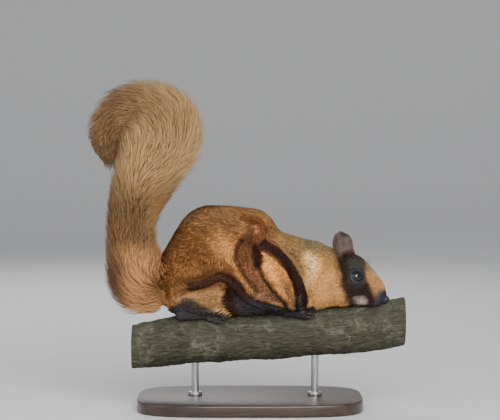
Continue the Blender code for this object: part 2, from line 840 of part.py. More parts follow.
def membrane(name, root, edge, rows, bulge, pleats, depth, side):
    """A sheet from root line to free edge, swung outwards between them, with pleats that fan to the edge."""
    places = np.linspace(0, 1, rows)
    roots = smooth_run(root, places)
    edges = smooth_run(edge, places)
    grid = []
    for place, a, b in zip(places, roots, edges):
        row = []
        for share in np.linspace(0, 1, MEMBRANE_COLUMNS):
            x, y, up = a + (b - a) * share
            swell = bulge * math.sin(math.pi * share) * math.sin(math.pi * min(1, 0.12 + 0.88 * place))
            fold = depth * math.sin(math.pi * min(1, 1.5 * share)) * math.cos(2 * math.pi * pleats * place)
            row.append(spot(x, (y - swell - fold * min(1, 6 * place, 6 * (1 - place))) * -side, up))
        grid.append(row)
    inner = [[point + Vector((0, MEMBRANE_WALL * -side, 0)) for point in row] for row in grid]
    web = slab(name, grid, inner, fur)
    roll_rows = smooth_run(edge, np.linspace(0.01, 0.99, 9))
    keys = [(x, y, up, MEMBRANE_ROLL / MM) for x, y, up in roll_rows]
    return join(web, limb("roll", keys, 6, rows + 3, None, side, cap=2), solver="MANIFOLD")


# Tail: a slim core under long locks that lie towards the tip

def tail_lock(root, ahead, out, side_way, length, width, lift):
    """One flat tapered lock: it rises from the core, arches over towards the tip and ends in a point."""
    rings = []
    for share, wide, thick in LOCK_PROFILE:
        steep = 1 - LOCK_ARCH * share
        centre = root + ahead * length * math.cos(lift) * share
        centre += out * length * math.sin(lift) * share * steep
        lean = lift * (1 - 2 * LOCK_ARCH * share)
        normal = out * math.cos(lean) - ahead * math.sin(lean)
        half, rise = width / 2 * wide, LOCK_THICKNESS * thick
        ring = [centre + side_way * half - normal * rise / 2, centre + normal * rise / 2]
        ring.append(centre - side_way * half - normal * rise / 2)
        rings.append(ring if share < 1 else [centre])
    return loft("lock", rings)


def build_tail(names):
    """The tail in lengths; the last locks of one length lie over the bare start of the next."""
    draw = random.Random(11)
    dense = smooth_run(TAIL_RUN, np.linspace(0, 1, 300))
    centres = [spot(*row[:3]) for row in dense]
    ways = frames(centres, Vector((1, 0, 0)))
    run = [0.0]
    for a, b in zip(centres, centres[1:]):
        run.append(run[-1] + (b - a).length)

    def at(distance):
        return min(int(np.searchsorted(run, distance)), len(run) - 1)

    built, start, row = [], 0.0, 0
    for name, row_count in zip(names, TAIL_ROWS):
        last = name == names[-1]
        end = run[-1] if last else TAIL_FIRST_ROW + (row + row_count - 1) * TAIL_ROW + LOCK_CLEAR
        rings = []
        for distance in np.linspace(start, end, max(5, round((end - start) / TAIL_RING))):
            k = at(distance)
            _, across, top = ways[k]
            r = dense[k][3] * TAIL_CORE * MM
            angles = [2 * math.pi * j / TAIL_SIDES for j in range(TAIL_SIDES)]
            centre = spot(*(np.interp(distance, run, dense[:, c]) for c in range(3)))
            rings.append([centre + (across * math.cos(a) + top * math.sin(a)) * r for a in angles])
        if last:
            rings.append([centres[-1] + ways[-1][0] * 6 * MM])
        core = loft(name, rings, tail_fur)
        locks = []
        for index in range(row, row + row_count):
            k = at(TAIL_FIRST_ROW + index * TAIL_ROW)
            tangent, across, top = ways[k]
            seam = index >= row + row_count - 3 and not last or index < row + 3 and row
            loose = 0.0 if seam else 1.0
            reach = dense[k][3] * MM
            radius = reach * TAIL_CORE
            lift = LOCK_LIFT * (1 - 0.4 * max(0.0, (k / len(run) - 0.84) / 0.16))
            for j in range(TAIL_AROUND):
                turn = 2 * math.pi * (j + 0.5 * (index % 2) + loose * draw.uniform(-0.1, 0.1)) / TAIL_AROUND
                out = across * math.cos(turn) + top * math.sin(turn)
                rise = lift + loose * math.radians(draw.uniform(-3, 3))
                length = (reach - radius + LOCK_ROOT) / (math.sin(lift) * (1 - LOCK_ARCH))
                length *= 1 + loose * draw.uniform(-0.07, 0.03)
                root = centres[k] + out * (radius - LOCK_ROOT) + tangent * loose * draw.uniform(-2, 2) * MM
                width = LOCK_WIDTH * (0.35 + 0.65 * radius / (18 * MM))
                locks.append(tail_lock(root, tangent, out, tangent.cross(out), length, width, rise))
        built.append(join(core, *locks, solver="MANIFOLD"))
        start, row = end + GAP, row + row_count
    return built


base, rods = build_stand()
perch = build_branch(rods)

eyes = [build_eye("eye_right", RIGHT), build_eye("eye_left", LEFT)]
head = clear_of(build_head(), perch)
for side, name in ((RIGHT, "ear_right"), (LEFT, "ear_left")):
    clear_of(build_ear(name, side), head)

hand = paw("forefoot_left", HAND_AT, HAND_LENGTH, HAND_HALF_WIDTH, 4, FINGER_LENGTH, 0, LEFT)
foot = paw("hindfoot_left", FOOT_AT, FOOT_LENGTH, FOOT_HALF_WIDTH, 5, TOE_LENGTH, FOOT_HEEL, LEFT)
clear_of(hand, perch)
clear_of(foot, perch)
hand_hull, foot_hull = hull_of(hand), hull_of(foot)
hulls = [hand_hull, mirrored(hand_hull, "hull"), foot_hull, mirrored(foot_hull, "hull")]

torso = trunk_part("torso", TRUNK_RUN[0][0], NECK_FROM - GAP / MM / 2, 15)
clear_of(torso, perch, *hulls)
neck = trunk_part("neck", NECK_FROM + GAP / MM / 2, TRUNK_RUN[-1][0], 5)
clear_of(neck, perch, head, *hulls[:2])

# The untrimmed legs have no sharp creases, so they make the better cutters for the membranes
hindleg = build_limb("hindleg_left", THIGH, SHANK, LEFT)
foreleg = build_limb("foreleg_left", UPPER_ARM, FOREARM, LEFT)
whole_leg, whole_arm = grown_copy(hindleg, 0), grown_copy(foreleg, 0)
clear_of(hindleg, torso, perch, foot_hull)
# The trunk's flat faces aren't quite the same on both sides, so the arm is cleared of its mirror image too
other_torso = mirrored(torso, "other_torso")
clear_of(foreleg, torso, other_torso, neck, perch, hand_hull, whole_leg)
wing = membrane("flank_membrane_left", WING_ROOT, WING_EDGE, 11, WING_BULGE, WING_PLEATS, PLEAT_DEPTH, LEFT)
clear_of(wing, torso, whole_leg, whole_arm, perch, hand_hull, foot_hull)
web = membrane("arm_membrane_left", ARM_ROOT, ARM_EDGE, 8, ARM_BULGE, 1, PLEAT_DEPTH / 2, LEFT)
clear_of(web, torso, neck, whole_arm, wing, perch, hand_hull)
for thing in (hand, foot, hindleg, foreleg, wing, web):
    mirrored(thing, thing.name.replace("left", "right"))
for guide in [*hulls, whole_leg, whole_arm, other_torso]:
    bpy.data.objects.remove(guide)

tail = build_tail(("tail_base", "tail_middle", "tail_tip"))
clear_of(tail[0], torso, perch)

for thing in bpy.data.objects:
    thing.data.shade_smooth()
    thing.data.set_sharp_from_angle(angle=SHARP_ANGLE)
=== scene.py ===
"""Looks of the red giant flying squirrel on its cut branch and display stand.

The script follows the model as a maker would build it: the camera, the stand and the branch, then the
animal's skin, its markings, its coat and tail, its ears, eyes, nose, claws and whiskers, and last the floor
and the lights.
"""

import math

import bmesh
import bpy
import numpy as np
from mathutils import Matrix, Vector
from mathutils.bvhtree import BVHTree


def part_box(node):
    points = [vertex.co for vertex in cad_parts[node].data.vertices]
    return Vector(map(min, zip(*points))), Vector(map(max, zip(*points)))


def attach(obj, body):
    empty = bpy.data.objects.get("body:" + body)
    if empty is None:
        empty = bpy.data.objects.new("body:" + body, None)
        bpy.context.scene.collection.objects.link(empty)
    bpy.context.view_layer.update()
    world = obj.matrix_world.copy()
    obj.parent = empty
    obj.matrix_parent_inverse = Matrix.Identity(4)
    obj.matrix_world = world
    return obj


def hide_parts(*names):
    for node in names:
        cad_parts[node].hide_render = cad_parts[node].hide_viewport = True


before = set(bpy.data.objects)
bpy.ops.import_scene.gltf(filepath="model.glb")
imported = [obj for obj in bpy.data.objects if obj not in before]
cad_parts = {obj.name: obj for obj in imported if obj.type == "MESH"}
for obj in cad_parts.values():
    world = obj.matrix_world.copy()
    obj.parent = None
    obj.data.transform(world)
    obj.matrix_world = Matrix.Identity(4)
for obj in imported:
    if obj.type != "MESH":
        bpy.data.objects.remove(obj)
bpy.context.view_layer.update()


# Camera
# A long lens at the height of the branch, square to the animal's right side and tipped down by three
# degrees.

VIEW_DISTANCE = 2.5
VIEW_TILT = math.radians(3)
VIEW_MIDDLE = Vector((0, 0, 0.2376))
LENS = 150
SENSOR_WIDTH = 36

bpy.ops.object.select_all(action="DESELECT")
away = Vector((0, -math.cos(VIEW_TILT), math.sin(VIEW_TILT)))
bpy.ops.object.camera_add(
    location=VIEW_MIDDLE + away * VIEW_DISTANCE, rotation=(math.pi / 2 - VIEW_TILT, 0, 0)
)
camera = bpy.context.object
camera.name = "camera"
camera.data.lens = LENS
camera.data.sensor_width = SENSOR_WIDTH
camera.data.clip_end = 20
bpy.context.scene.camera = camera


# Display base
# A flat plinth of dark stained hardwood with soft corners and a bevelled rim. It is sawn to outline, bevelled
# top and bottom, and finished in satin oil.

MM = 0.001
BASE_HALF_LENGTH = 135 * MM
BASE_HALF_WIDTH = 88 * MM
BASE_THICKNESS = 14 * MM
BASE_BEVEL = 2.4 * MM
BASE_SQUARENESS = 0.5
WOOD_DARK = (0.016, 0.009, 0.006)
WOOD_LIGHT = (0.060, 0.032, 0.018)


class Value:
    """One output of a material's nodes; arithmetic on it adds Math nodes."""

    def __init__(self, look, socket):
        self.look = look
        self.socket = socket

    def maths(self, operation, *others, **settings):
        values = dict(enumerate((self, *others)))
        return self.look.node("Math", {"operation": operation, **settings}, values)

    def __add__(self, other):
        return self.maths("ADD", other)

    def __sub__(self, other):
        return self.maths("SUBTRACT", other)

    def __mul__(self, other):
        return self.maths("MULTIPLY", other)

    def __rsub__(self, other):
        return self.look.node("Math", {"operation": "SUBTRACT"}, {0: other, 1: self})

    __radd__ = __add__
    __rmul__ = __mul__

    def between(self, low, high):
        """0 below low, 1 above high, and smooth between them."""
        return self.look.node("MapRange", {"interpolation_type": "SMOOTHSTEP"}, {0: self, 1: low, 2: high})


class Look:
    """A material while its nodes are put together round its Principled shader."""

    def __init__(self, name, roughness, metallic=0.0):
        self.material = bpy.data.materials.new(name)
        self.material.use_nodes = True
        self.tree = self.material.node_tree
        self.surface = self.tree.nodes["Principled BSDF"]
        self.set("Roughness", roughness)
        self.set("Metallic", metallic)

    def feed(self, socket, value):
        if isinstance(value, Value):
            self.tree.links.new(value.socket, socket)
        elif isinstance(value, (tuple, list)) and len(value) == 3 and socket.type == "RGBA":
            socket.default_value = (*value, 1)
        else:
            socket.default_value = value

    def set(self, name, value):
        self.feed(self.surface.inputs[name], value)

    def node(self, kind, settings=None, inputs=None, output=0):
        """Any node: its settings first, then the values or links of its sockets."""
        made = self.tree.nodes.new("ShaderNode" + kind)
        for name, value in (settings or {}).items():
            setattr(made, name, value)
        for name, value in (inputs or {}).items():
            self.feed(made.inputs[name], value)
        return Value(self, made.outputs[output])

    def place(self, stretch=(1, 1, 1), shift=(0, 0, 0)):
        """Object coordinates through a Mapping node."""
        raw = self.node("TexCoord", output="Object")
        return self.node("Mapping", None, {"Vector": raw, "Location": shift, "Scale": stretch})

    def noise(self, at, scale, detail=4.0, roughness=0.55, distortion=0.0):
        values = {
            "Vector": at, "Scale": scale, "Detail": detail, "Roughness": roughness, "Distortion": distortion
        }
        return self.node("TexNoise", None, values)

    def mix(self, share, first, second, blend="MIX"):
        """Two colours blended by share."""
        kind = {"data_type": "RGBA", "blend_type": blend}
        return self.node("Mix", kind, {0: share, 6: first, 7: second}, 2)

    def two_tone(self, share, first, second):
        """The base colour between two shades."""
        self.set("Base Color", self.mix(share, first, second))

    def bump(self, height, strength, distance):
        values = {"Height": height, "Strength": strength, "Distance": distance}
        self.set("Normal", self.node("Bump", None, values))


def finish_piece(piece, name, look, slot, *nodes):
    """Names a piece, gives it its material and its body, and hides the parts of the nodes it stands for; the
    slot is not used.
    """
    piece.name = name
    piece.data.name = name
    piece.data.materials.clear()
    piece.data.materials.append(look.material)
    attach(piece, "root")
    if nodes:
        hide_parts(*nodes)
    return piece


def apply_modifier(piece, kind, **settings):
    change = piece.modifiers.new(kind.title(), kind)
    for name, value in settings.items():
        setattr(change, name, value)
    bpy.ops.object.select_all(action="DESELECT")
    bpy.context.view_layer.objects.active = piece
    piece.select_set(True)
    bpy.ops.object.modifier_apply(modifier=change.name)


def rest_at_origin(piece):
    """Puts the piece's place, turn and size into its mesh."""
    piece.data.transform(piece.matrix_world)
    piece.matrix_world = Matrix.Identity(4)


bpy.ops.object.select_all(action="DESELECT")
bpy.ops.mesh.primitive_cylinder_add(
    vertices=160, radius=1, depth=BASE_THICKNESS, location=(0, 0, BASE_THICKNESS / 2)
)
base = bpy.context.object
rest_at_origin(base)
for vert in base.data.vertices:
    turn = math.atan2(vert.co.y, vert.co.x)
    c, s = math.cos(turn), math.sin(turn)
    vert.co.x = math.copysign(abs(c) ** BASE_SQUARENESS, c) * BASE_HALF_LENGTH
    vert.co.y = math.copysign(abs(s) ** BASE_SQUARENESS, s) * BASE_HALF_WIDTH
apply_modifier(
    base, "BEVEL", width=BASE_BEVEL, segments=5, limit_method="ANGLE", angle_limit=math.radians(60)
)
base.data.shade_smooth()
base.data.set_sharp_from_angle(angle=math.radians(35))

wood = Look("dark_wood", 0.38)
grain = wood.noise(wood.place((3.2, 30, 30)), 4.5, 7, 0.62, 1.4)
rings = wood.noise(wood.place((1.0, 9, 9)), 5, 3, 0.5, 2.2)
pores = wood.noise(wood.place((26, 420, 420)), 1.0, 2)
tone = (grain * 0.6 + rings * 0.5).between(0.35, 0.75)
shade = wood.mix(tone, WOOD_DARK, WOOD_LIGHT)
wood.two_tone(pores.between(0.60, 0.72) * 0.5, shade, (0.008, 0.005, 0.004))
wood.set("Roughness", 0.30 + grain * 0.18)
wood.set("Coat Weight", 0.25)
wood.set("Coat Roughness", 0.25)
wood.bump(grain * 0.5 + pores * 0.5, 0.25, 0.0004)
finish_piece(base, "plinth", wood, "dark_wood", "stand_base")


# Rods
# Two short round steel rods, set in the plinth with turned collars and pushed up into the branch.

ROD_RADIUS = 4.5 * MM
COLLAR_RADIUS = 8.5 * MM
COLLAR_HEIGHT = 5 * MM
COLLAR_BEVEL = 1.1 * MM
COLLAR_SINK = 0.2 * MM

steel = Look("steel", 0.32, 1.0)
brushed = steel.noise(steel.place((900, 900, 40)), 1.0, 3)
steel.two_tone(brushed.between(0.3, 0.7), (0.34, 0.34, 0.35), (0.55, 0.55, 0.56))
steel.set("Roughness", 0.26 + brushed * 0.16)
steel.bump(brushed, 0.15, 0.0002)


def join_pieces(pieces):
    """Makes one object of several, and returns it."""
    bpy.ops.object.select_all(action="DESELECT")
    for piece in pieces:
        piece.select_set(True)
    bpy.context.view_layer.objects.active = pieces[0]
    bpy.ops.object.join()
    return pieces[0]


for name in ("stand_rod_rear", "stand_rod_front"):
    low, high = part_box(name)
    middle = (low + high) / 2
    bpy.ops.object.select_all(action="DESELECT")
    bpy.ops.mesh.primitive_cylinder_add(vertices=48, radius=ROD_RADIUS, depth=high.z - low.z, location=middle)
    rod = bpy.context.object
    rest_at_origin(rod)
    bpy.ops.mesh.primitive_cylinder_add(
        vertices=64,
        radius=COLLAR_RADIUS,
        depth=COLLAR_HEIGHT,
        location=(middle.x, 0, BASE_THICKNESS + COLLAR_HEIGHT / 2 - COLLAR_SINK),
    )
    collar = bpy.context.object
    rest_at_origin(collar)
    apply_modifier(
        collar, "BEVEL", width=COLLAR_BEVEL, segments=4, limit_method="ANGLE", angle_limit=math.radians(60)
    )
    rod = join_pieces([rod, collar])
    rod.data.shade_smooth()
    rod.data.set_sharp_from_angle(angle=math.radians(35))
    finish_piece(rod, name.replace("stand_", ""), steel, "steel", name)


# Branch
# A cut length of a live branch as thick as a wrist, with grey-brown bark that cracks along the grain, low
# knots, pale weathered patches and clean saw cuts at both ends. It is pinned on the two rods.

SEAT = 114 * MM
# x, height of the branch's top above its top at x = 0, radius, all in millimetres
BRANCH_RUN = (
    (-142, -15, 27),
    (-112, -8, 28.5),
    (-80, -2, 30),
    (-24, -1, 29),
    (30, 1.5, 28.5),
    (80, 6, 29),
    (130, 12, 30.5),
    (186, 19, 29),
)
BRANCH_RINGS = 300
BRANCH_SIDES = 220
TYPICAL_RADIUS = 29
# Knots: x, turn round the branch from its left side, reach, height in millimetres
KNOTS = (
    (-118, 3.7, 15, 3.2),
    (-38, 4.4, 11, 2.0),
    (96, 3.9, 17, 3.4),
    (150, 5.2, 12, 2.6),
    (20, 5.6, 14, 1.6),
    (60, 4.9, 9, 1.8),
)
# The saw cuts' rings of faces, each let in by a share of the radius, and their softened edge in millimetres
CUT_INSETS = (0.04, 0.14, 0.16, 0.18, 0.18, 0.14, 0.1)
CUT_EDGE = 0.9
BARK_DARK = (0.018, 0.017, 0.009)
BARK_MIDDLE = (0.053, 0.049, 0.024)
BARK_PALE = (0.19, 0.18, 0.12)
CUT_WOOD = (0.40, 0.27, 0.15)
CUT_RING = (0.24, 0.15, 0.08)


def smooth_run(keys, places):
    """Rows read off a smooth curve through the key rows; places run from 0 to 1 along its length."""
    keys = np.array(keys, float)
    step = np.linalg.norm(np.diff(keys[:, : min(3, keys.shape[1])], axis=0), axis=1)
    knots = np.concatenate([[0.0], np.cumsum(step)])
    slope = np.gradient(keys, knots, axis=0)
    at = np.clip(np.asarray(places, float), 0, 1) * knots[-1]
    k = np.clip(np.searchsorted(knots, at, side="right") - 1, 0, len(knots) - 2)
    span = (knots[k + 1] - knots[k])[:, None]
    t = (at - knots[k])[:, None] / span
    return (
        (2 * t**3 - 3 * t**2 + 1) * keys[k]
        + (t**3 - 2 * t**2 + t) * span * slope[k]
        + (3 * t**2 - 2 * t**3) * keys[k + 1]
        + (t**3 - t**2) * span * slope[k + 1]
    )


def branch_at(x):
    """Height of the branch's middle line above SEAT, and its radius, at x, all in millimetres."""
    dense = smooth_run(BRANCH_RUN, np.linspace(0, 1, 400))
    top = np.interp(x, dense[:, 0], dense[:, 1])
    radius = np.interp(x, dense[:, 0], dense[:, 2])
    return top - radius, radius


def waves(points, length, seed, layers=3):
    """Soft noise from -1 to 1 made of crossing waves about length long; points in millimetres."""
    draw = np.random.default_rng(seed)
    total = np.zeros(len(points))
    for layer in range(layers):
        for _ in range(5):
            way = draw.normal(size=3)
            way *= 2 * np.pi / (length / 1.9**layer) / np.linalg.norm(way)
            total += np.sin(points @ way + draw.uniform(0, 2 * np.pi)) / 1.7**layer
    return total / (5 * sum(1 / 1.7**k for k in range(layers))) * 2.2


def mesh_from_arrays(name, points, faces):
    """An object of one mesh from arrays of points and of equal-sided faces."""
    mesh = bpy.data.meshes.new(name)
    sides = faces.shape[1]
    mesh.vertices.add(len(points))
    mesh.vertices.foreach_set("co", np.ascontiguousarray(points, np.float32).ravel())
    mesh.loops.add(faces.size)
    mesh.loops.foreach_set("vertex_index", np.ascontiguousarray(faces, np.int32).ravel())
    mesh.polygons.add(len(faces))
    mesh.polygons.foreach_set("loop_start", np.arange(0, faces.size, sides, dtype=np.int32))
    mesh.update(calc_edges=True)
    made = bpy.data.objects.new(name, mesh)
    bpy.context.scene.collection.objects.link(made)
    return made


def vertices_of(piece):
    found = np.zeros(len(piece.data.vertices) * 3)
    piece.data.vertices.foreach_get("co", found)
    return found.reshape(-1, 3)


def move_vertices(piece, points):
    piece.data.vertices.foreach_set("co", np.ascontiguousarray(points, np.float32).ravel())
    piece.data.update()


low_x, high_x = BRANCH_RUN[0][0], BRANCH_RUN[-1][0]
bpy.ops.object.select_all(action="DESELECT")
bpy.ops.mesh.primitive_cylinder_add(vertices=BRANCH_SIDES, radius=1, depth=2, rotation=(0, math.pi / 2, 0))
branch = bpy.context.object
rest_at_origin(branch)
work = bmesh.new()
work.from_mesh(branch.data)
long_edges = [e for e in work.edges if abs(e.verts[0].co.x - e.verts[1].co.x) > 1]
bmesh.ops.subdivide_edges(work, edges=long_edges, cuts=BRANCH_RINGS, use_grid_fill=True)
for face in [f for f in work.faces if abs(f.normal.x) > 0.9]:
    inner = face
    for share in CUT_INSETS:
        bmesh.ops.inset_region(work, faces=[inner], thickness=share)
work.to_mesh(branch.data)
work.free()
points = vertices_of(branch)
share = (points[:, 0] + 1) / 2
x = low_x + share * (high_x - low_x)
out = np.hypot(points[:, 1], points[:, 2])
turn = np.arctan2(points[:, 2], points[:, 1])
axis_up, radius = branch_at(x)
round_place = np.stack([x, np.cos(turn) * TYPICAL_RADIUS, np.sin(turn) * TYPICAL_RADIUS], 1)
relief = 0.9 * np.sin(3 * turn) * np.sin(x * 0.05) + 0.6 * np.sin(5 * turn) * np.cos(x * 0.09)
relief = np.where(np.sin(turn) < 0.3, relief, relief * 0.25) - 0.5
furrow = waves(round_place * (0.16, 1, 1), 7.5, 5, 3)
rough = 0.35 * waves(round_place * (0.4, 1, 1), 2.6, 6, 2)
relief += -0.9 * np.clip(0.35 - np.abs(furrow), 0, 1) / 0.35 + rough
relief += 0.4 * waves(round_place, 22, 8, 2)
for knot_x, knot_turn, reach, height in KNOTS:
    side = np.angle(np.exp(1j * (turn - knot_turn))) * TYPICAL_RADIUS
    near = np.hypot(x - knot_x, side) / reach
    relief += height * np.exp(-2.5 * near**2) - 0.45 * height * np.exp(-30 * near**2)
on_side = np.clip((out - 0.93) / 0.07, 0, 1)
r = radius * out + relief * on_side
edge = np.minimum(x - low_x, high_x - x)
r -= CUT_EDGE * np.exp(-edge / 0.8) * on_side
points = np.stack([x * MM, r * np.cos(turn) * MM, SEAT + (axis_up + r * np.sin(turn)) * MM], 1)
move_vertices(branch, points)
branch.data.shade_smooth()
branch.data.set_sharp_from_angle(angle=math.radians(50))

bark = Look("bark", 0.9)
at = bark.place()
fibre = bark.noise(bark.place((70, 420, 420)), 1.0, 6, 0.62, 0.6)
cracks = bark.noise(bark.place((28, 170, 170)), 1.0, 5, 0.6, 1.2)
mottle = bark.noise(at, 34, 5, 0.62, 0.4)
crust = bark.noise(at, 85, 6, 0.68, 0.8)
ground = bark.mix(fibre.between(0.32, 0.66), BARK_DARK, BARK_MIDDLE)
ground = bark.mix(cracks.between(0.56, 0.66) * 0.75, ground, (0.022, 0.018, 0.010))
pale = mottle.between(0.46, 0.66) * crust.between(0.40, 0.66)
skin_of_bark = bark.mix(pale * 0.55, ground, BARK_PALE)
place_x = bark.node("SeparateXYZ", None, {0: at}, "X")
half_length = (high_x - low_x) / 2 * MM
from_middle = (place_x - (low_x + high_x) / 2 * MM).maths("ABSOLUTE")
ends = from_middle.between(half_length - 0.45 * MM, half_length - 0.1 * MM)
growth = bark.node(
    "TexWave",
    {"wave_type": "RINGS", "rings_direction": "X", "wave_profile": "SIN"},
    {
        "Vector": bark.place(shift=(0, 0, -0.096)),
        "Scale": 105,
        "Distortion": 1.6,
        "Detail": 3,
        "Detail Scale": 1.2,
    },
)
cut = bark.mix(growth.between(0.25, 0.85), CUT_WOOD, CUT_RING)
splits = bark.noise(bark.place((10, 300, 300)), 1, 3).between(0.62, 0.7) * 0.6
cut = bark.mix(splits, cut, (0.1, 0.06, 0.035))
bark.two_tone(ends, skin_of_bark, cut)
bark.set("Roughness", 0.92 - crust * 0.14)
bark.bump(fibre * 0.5 + cracks.between(0.66, 0.54) * 0.6 + pale * 0.35, 0.55, 0.0011)
finish_piece(branch, "branch", bark, "bark", "perch")


# Skin
# The bare body under the coat: head, neck, trunk, legs, feet and the folded gliding membranes in one
# piece, with the tail's slim core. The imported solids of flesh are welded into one, smoothed, and let in
# by the depth of the coat.

FLESH = ["head", "neck", "torso"]
for part in ("foreleg", "forefoot", "hindleg", "hindfoot", "flank_membrane", "arm_membrane"):
    FLESH += [part + "_right", part + "_left"]
TAIL_NODES = ["tail_base", "tail_middle", "tail_tip"]
BRIDGE = 0.45 * MM
VOXEL = 1.40 * MM

# The limbs' and the membranes' lines on the right side: x, y, up in millimetres
FOREARM = (
    (15, -41, 104),
    (1, -51, 90),
    (-6, -56, 74),
    (-2, -55, 61),
    (7, -50, 47),
    (16, -43, 35),
    (27, -32, 22),
    (37, -21, 12),
)
UPPER_ARM = ((60, -8, 46), (40, -12, 64), (15, -38, 101))
THIGH = ((-71, 2, 60), (-49, -25, 64), (-22, -42, 57))
SHANK = ((-23, -42, 58), (-50, -40, 41), (-72, -31, 27), (-80, -22, 15))
WING_EDGE = (
    (44, -24, 6.5),
    (24, -31, 9),
    (6, -41, 15),
    (-9, -51, 25),
    (-18, -57, 37),
    (-25, -60, 45),
    (-34, -61, 48),
    (-43, -60, 44.5),
    (-53, -57, 39),
    (-64, -51, 36),
    (-75, -42, 34),
    (-84, -31, 28),
)
ARM_EDGE = (
    (11, -49, 84),
    (20, -52, 85),
    (31, -52, 80),
    (42, -51, 69),
    (51, -49.5, 55),
    (57.5, -47, 40),
    (61, -42, 25),
    (61, -32, 11),
)
# Tail: x, y, up, reach of the coat from the middle, in millimetres
TAIL_RUN = (
    (-96, 0, 30, 37),
    (-114, 0, 27, 47),
    (-131, -3, 42, 47),
    (-141, -6, 76, 35),
    (-142, -8, 104, 34),
    (-137, -8, 132, 37),
    (-127, -7, 160, 43),
    (-114, -3, 187, 51),
    (-105, 5, 210, 55),
    (-108, 19, 227, 54),
    (-123, 33, 235, 52),
    (-142, 44, 231, 52),
    (-155, 50, 216, 50),
    (-161, 53, 198, 42),
)
# The tail's slim core: share of the coat's reach, how much slimmer at the tip, and its radius at the root
TAIL_BONE = 0.30
TAIL_TAPER = 0.35
TAIL_TIP_ROUND = 0.05
TAIL_ROOT = 19 * MM
# The head's own frame: middle, pitch, yaw and roll; its places are along the muzzle, to the left and up
HEAD_AT = (118, -4, 38)
HEAD_PITCH, HEAD_YAW, HEAD_ROLL = math.radians(26), math.radians(5), math.radians(3)
EYE_AT = np.array((5, 22.5, 9.5))
EYE_LOOK = np.array((0.30, 0.90, 0.22)) / np.linalg.norm((0.30, 0.90, 0.22))
EYE_RADIUS = 8.0
# Feet of the right side: heel's x and y, length, half width, toes, toe length, extra heel, in millimetres
HAND = (37, -18.5, 19, 8.5, 4, 17, 0)
FOOT = (-90, -17.5, 44, 9.5, 5, 17, 3)
# Share of the sole's length and its half thickness; share of the toe's length and its radius
SOLE_RUN = ((0, 7.0), (0.35, 6.6), (0.75, 7.2), (1.0, 6.0))
TOE_RUN = ((0, 3.9), (0.3, 3.3), (0.55, 3.0), (0.8, 3.4), (1.0, 2.4))


def in_mm(points):
    """World points in metres as x, y and up in millimetres."""
    return (np.asarray(points) - (0, 0, SEAT)) / MM


def in_metres(points):
    return np.asarray(points, float) * MM + (0, 0, SEAT)


def head_axes():
    """The head's forward, left and top directions as rows."""
    level_share = math.cos(HEAD_PITCH)
    forward = Vector(
        (level_share * math.cos(HEAD_YAW), -level_share * math.sin(HEAD_YAW), -math.sin(HEAD_PITCH))
    )
    level = Vector((math.sin(HEAD_YAW), math.cos(HEAD_YAW), 0))
    left = level * math.cos(HEAD_ROLL) - forward.cross(level) * math.sin(HEAD_ROLL)
    return np.array((forward, left, forward.cross(left)))


HEAD_AXES = head_axes()


def to_head(points_mm):
    return (np.asarray(points_mm, float) - HEAD_AT) @ HEAD_AXES.T


def eye_distance(face):
    """Distance to the eye of the same side, from places in the head's own frame."""
    return np.linalg.norm(np.stack([face[:, 0], np.abs(face[:, 1]), face[:, 2]], 1) - EYE_AT, axis=1)


def from_head(places):
    """World points in metres of places in the head's own frame."""
    return in_metres(np.asarray(places, float) @ HEAD_AXES + HEAD_AT)


def unit(rows):
    """The rows as directions of length 1."""
    return rows / (np.linalg.norm(rows, axis=-1, keepdims=True) + 1e-12)


def ramp(values, low, high):
    """0 at low, 1 at high, smooth between; high may be below low."""
    t = np.clip((values - low) / (high - low), 0, 1)
    return t * t * (3 - 2 * t)


def line_distance(points, line):
    """Distance of each point to a run of points, and the share of the run's length at the nearest place."""
    line = np.array(line, float)[:, : points.shape[1]]
    steps = np.linalg.norm(np.diff(line, axis=0), axis=1)
    starts = np.concatenate([[0], np.cumsum(steps)]) / steps.sum()
    best = np.full(len(points), 1e9)
    where = np.zeros(len(points))
    for k in range(len(line) - 1):
        leg = line[k + 1] - line[k]
        t = np.clip((points - line[k]) @ leg / (leg @ leg), 0, 1)
        gap = np.linalg.norm(points - line[k] - t[:, None] * leg, axis=1)
        closer = gap < best
        best[closer] = gap[closer]
        where[closer] = (starts[k] + t * (starts[k + 1] - starts[k]))[closer]
    return best, where


def right_side(points_mm):
    """The points mirrored to the animal's right side, where the lines above lie."""
    folded = np.array(points_mm)
    folded[:, 1] = -np.abs(folded[:, 1])
    return folded


def normals_of(piece):
    found = np.zeros(len(piece.data.vertices) * 3)
    piece.data.vertex_normals.foreach_get("vector", found)
    return found.reshape(-1, 3)


def tube(centres, radii, sides, flatten=1.0):
    """Points and triangles of a closed tube through centres, turned little, with a pole at each end."""
    centres = np.asarray(centres, float)
    tangents = unit(np.gradient(centres, axis=0))
    top = np.array((0.02, 0.03, 1.0))
    if abs(tangents[0][2]) > 0.8:
        top = np.array((1.0, 0.03, 0.02))
    rings = []
    for centre, tangent, radius in zip(centres, tangents, radii):
        top = unit(top - tangent * (top @ tangent))
        across = np.cross(tangent, top)
        turns = np.linspace(0, 2 * np.pi, sides, endpoint=False)[:, None]
        rings.append(centre + radius * (across * np.cos(turns) + top * np.sin(turns) * flatten))
    points = np.concatenate(rings)
    k = np.arange(sides)
    faces = []
    for row in range(len(centres) - 1):
        a, b = row * sides, (row + 1) * sides
        faces.append(np.stack([a + k, a + (k + 1) % sides, b + (k + 1) % sides], 1))
        faces.append(np.stack([a + k, b + (k + 1) % sides, b + k], 1))
    first, last = len(points), len(points) + 1
    points = np.concatenate([points, centres[:1], centres[-1:]])
    end = (len(centres) - 1) * sides
    faces.append(np.stack([np.full(sides, first), (k + 1) % sides, k], 1))
    faces.append(np.stack([np.full(sides, last), end + k, end + (k + 1) % sides], 1))
    return points, np.concatenate(faces)[:, ::-1]


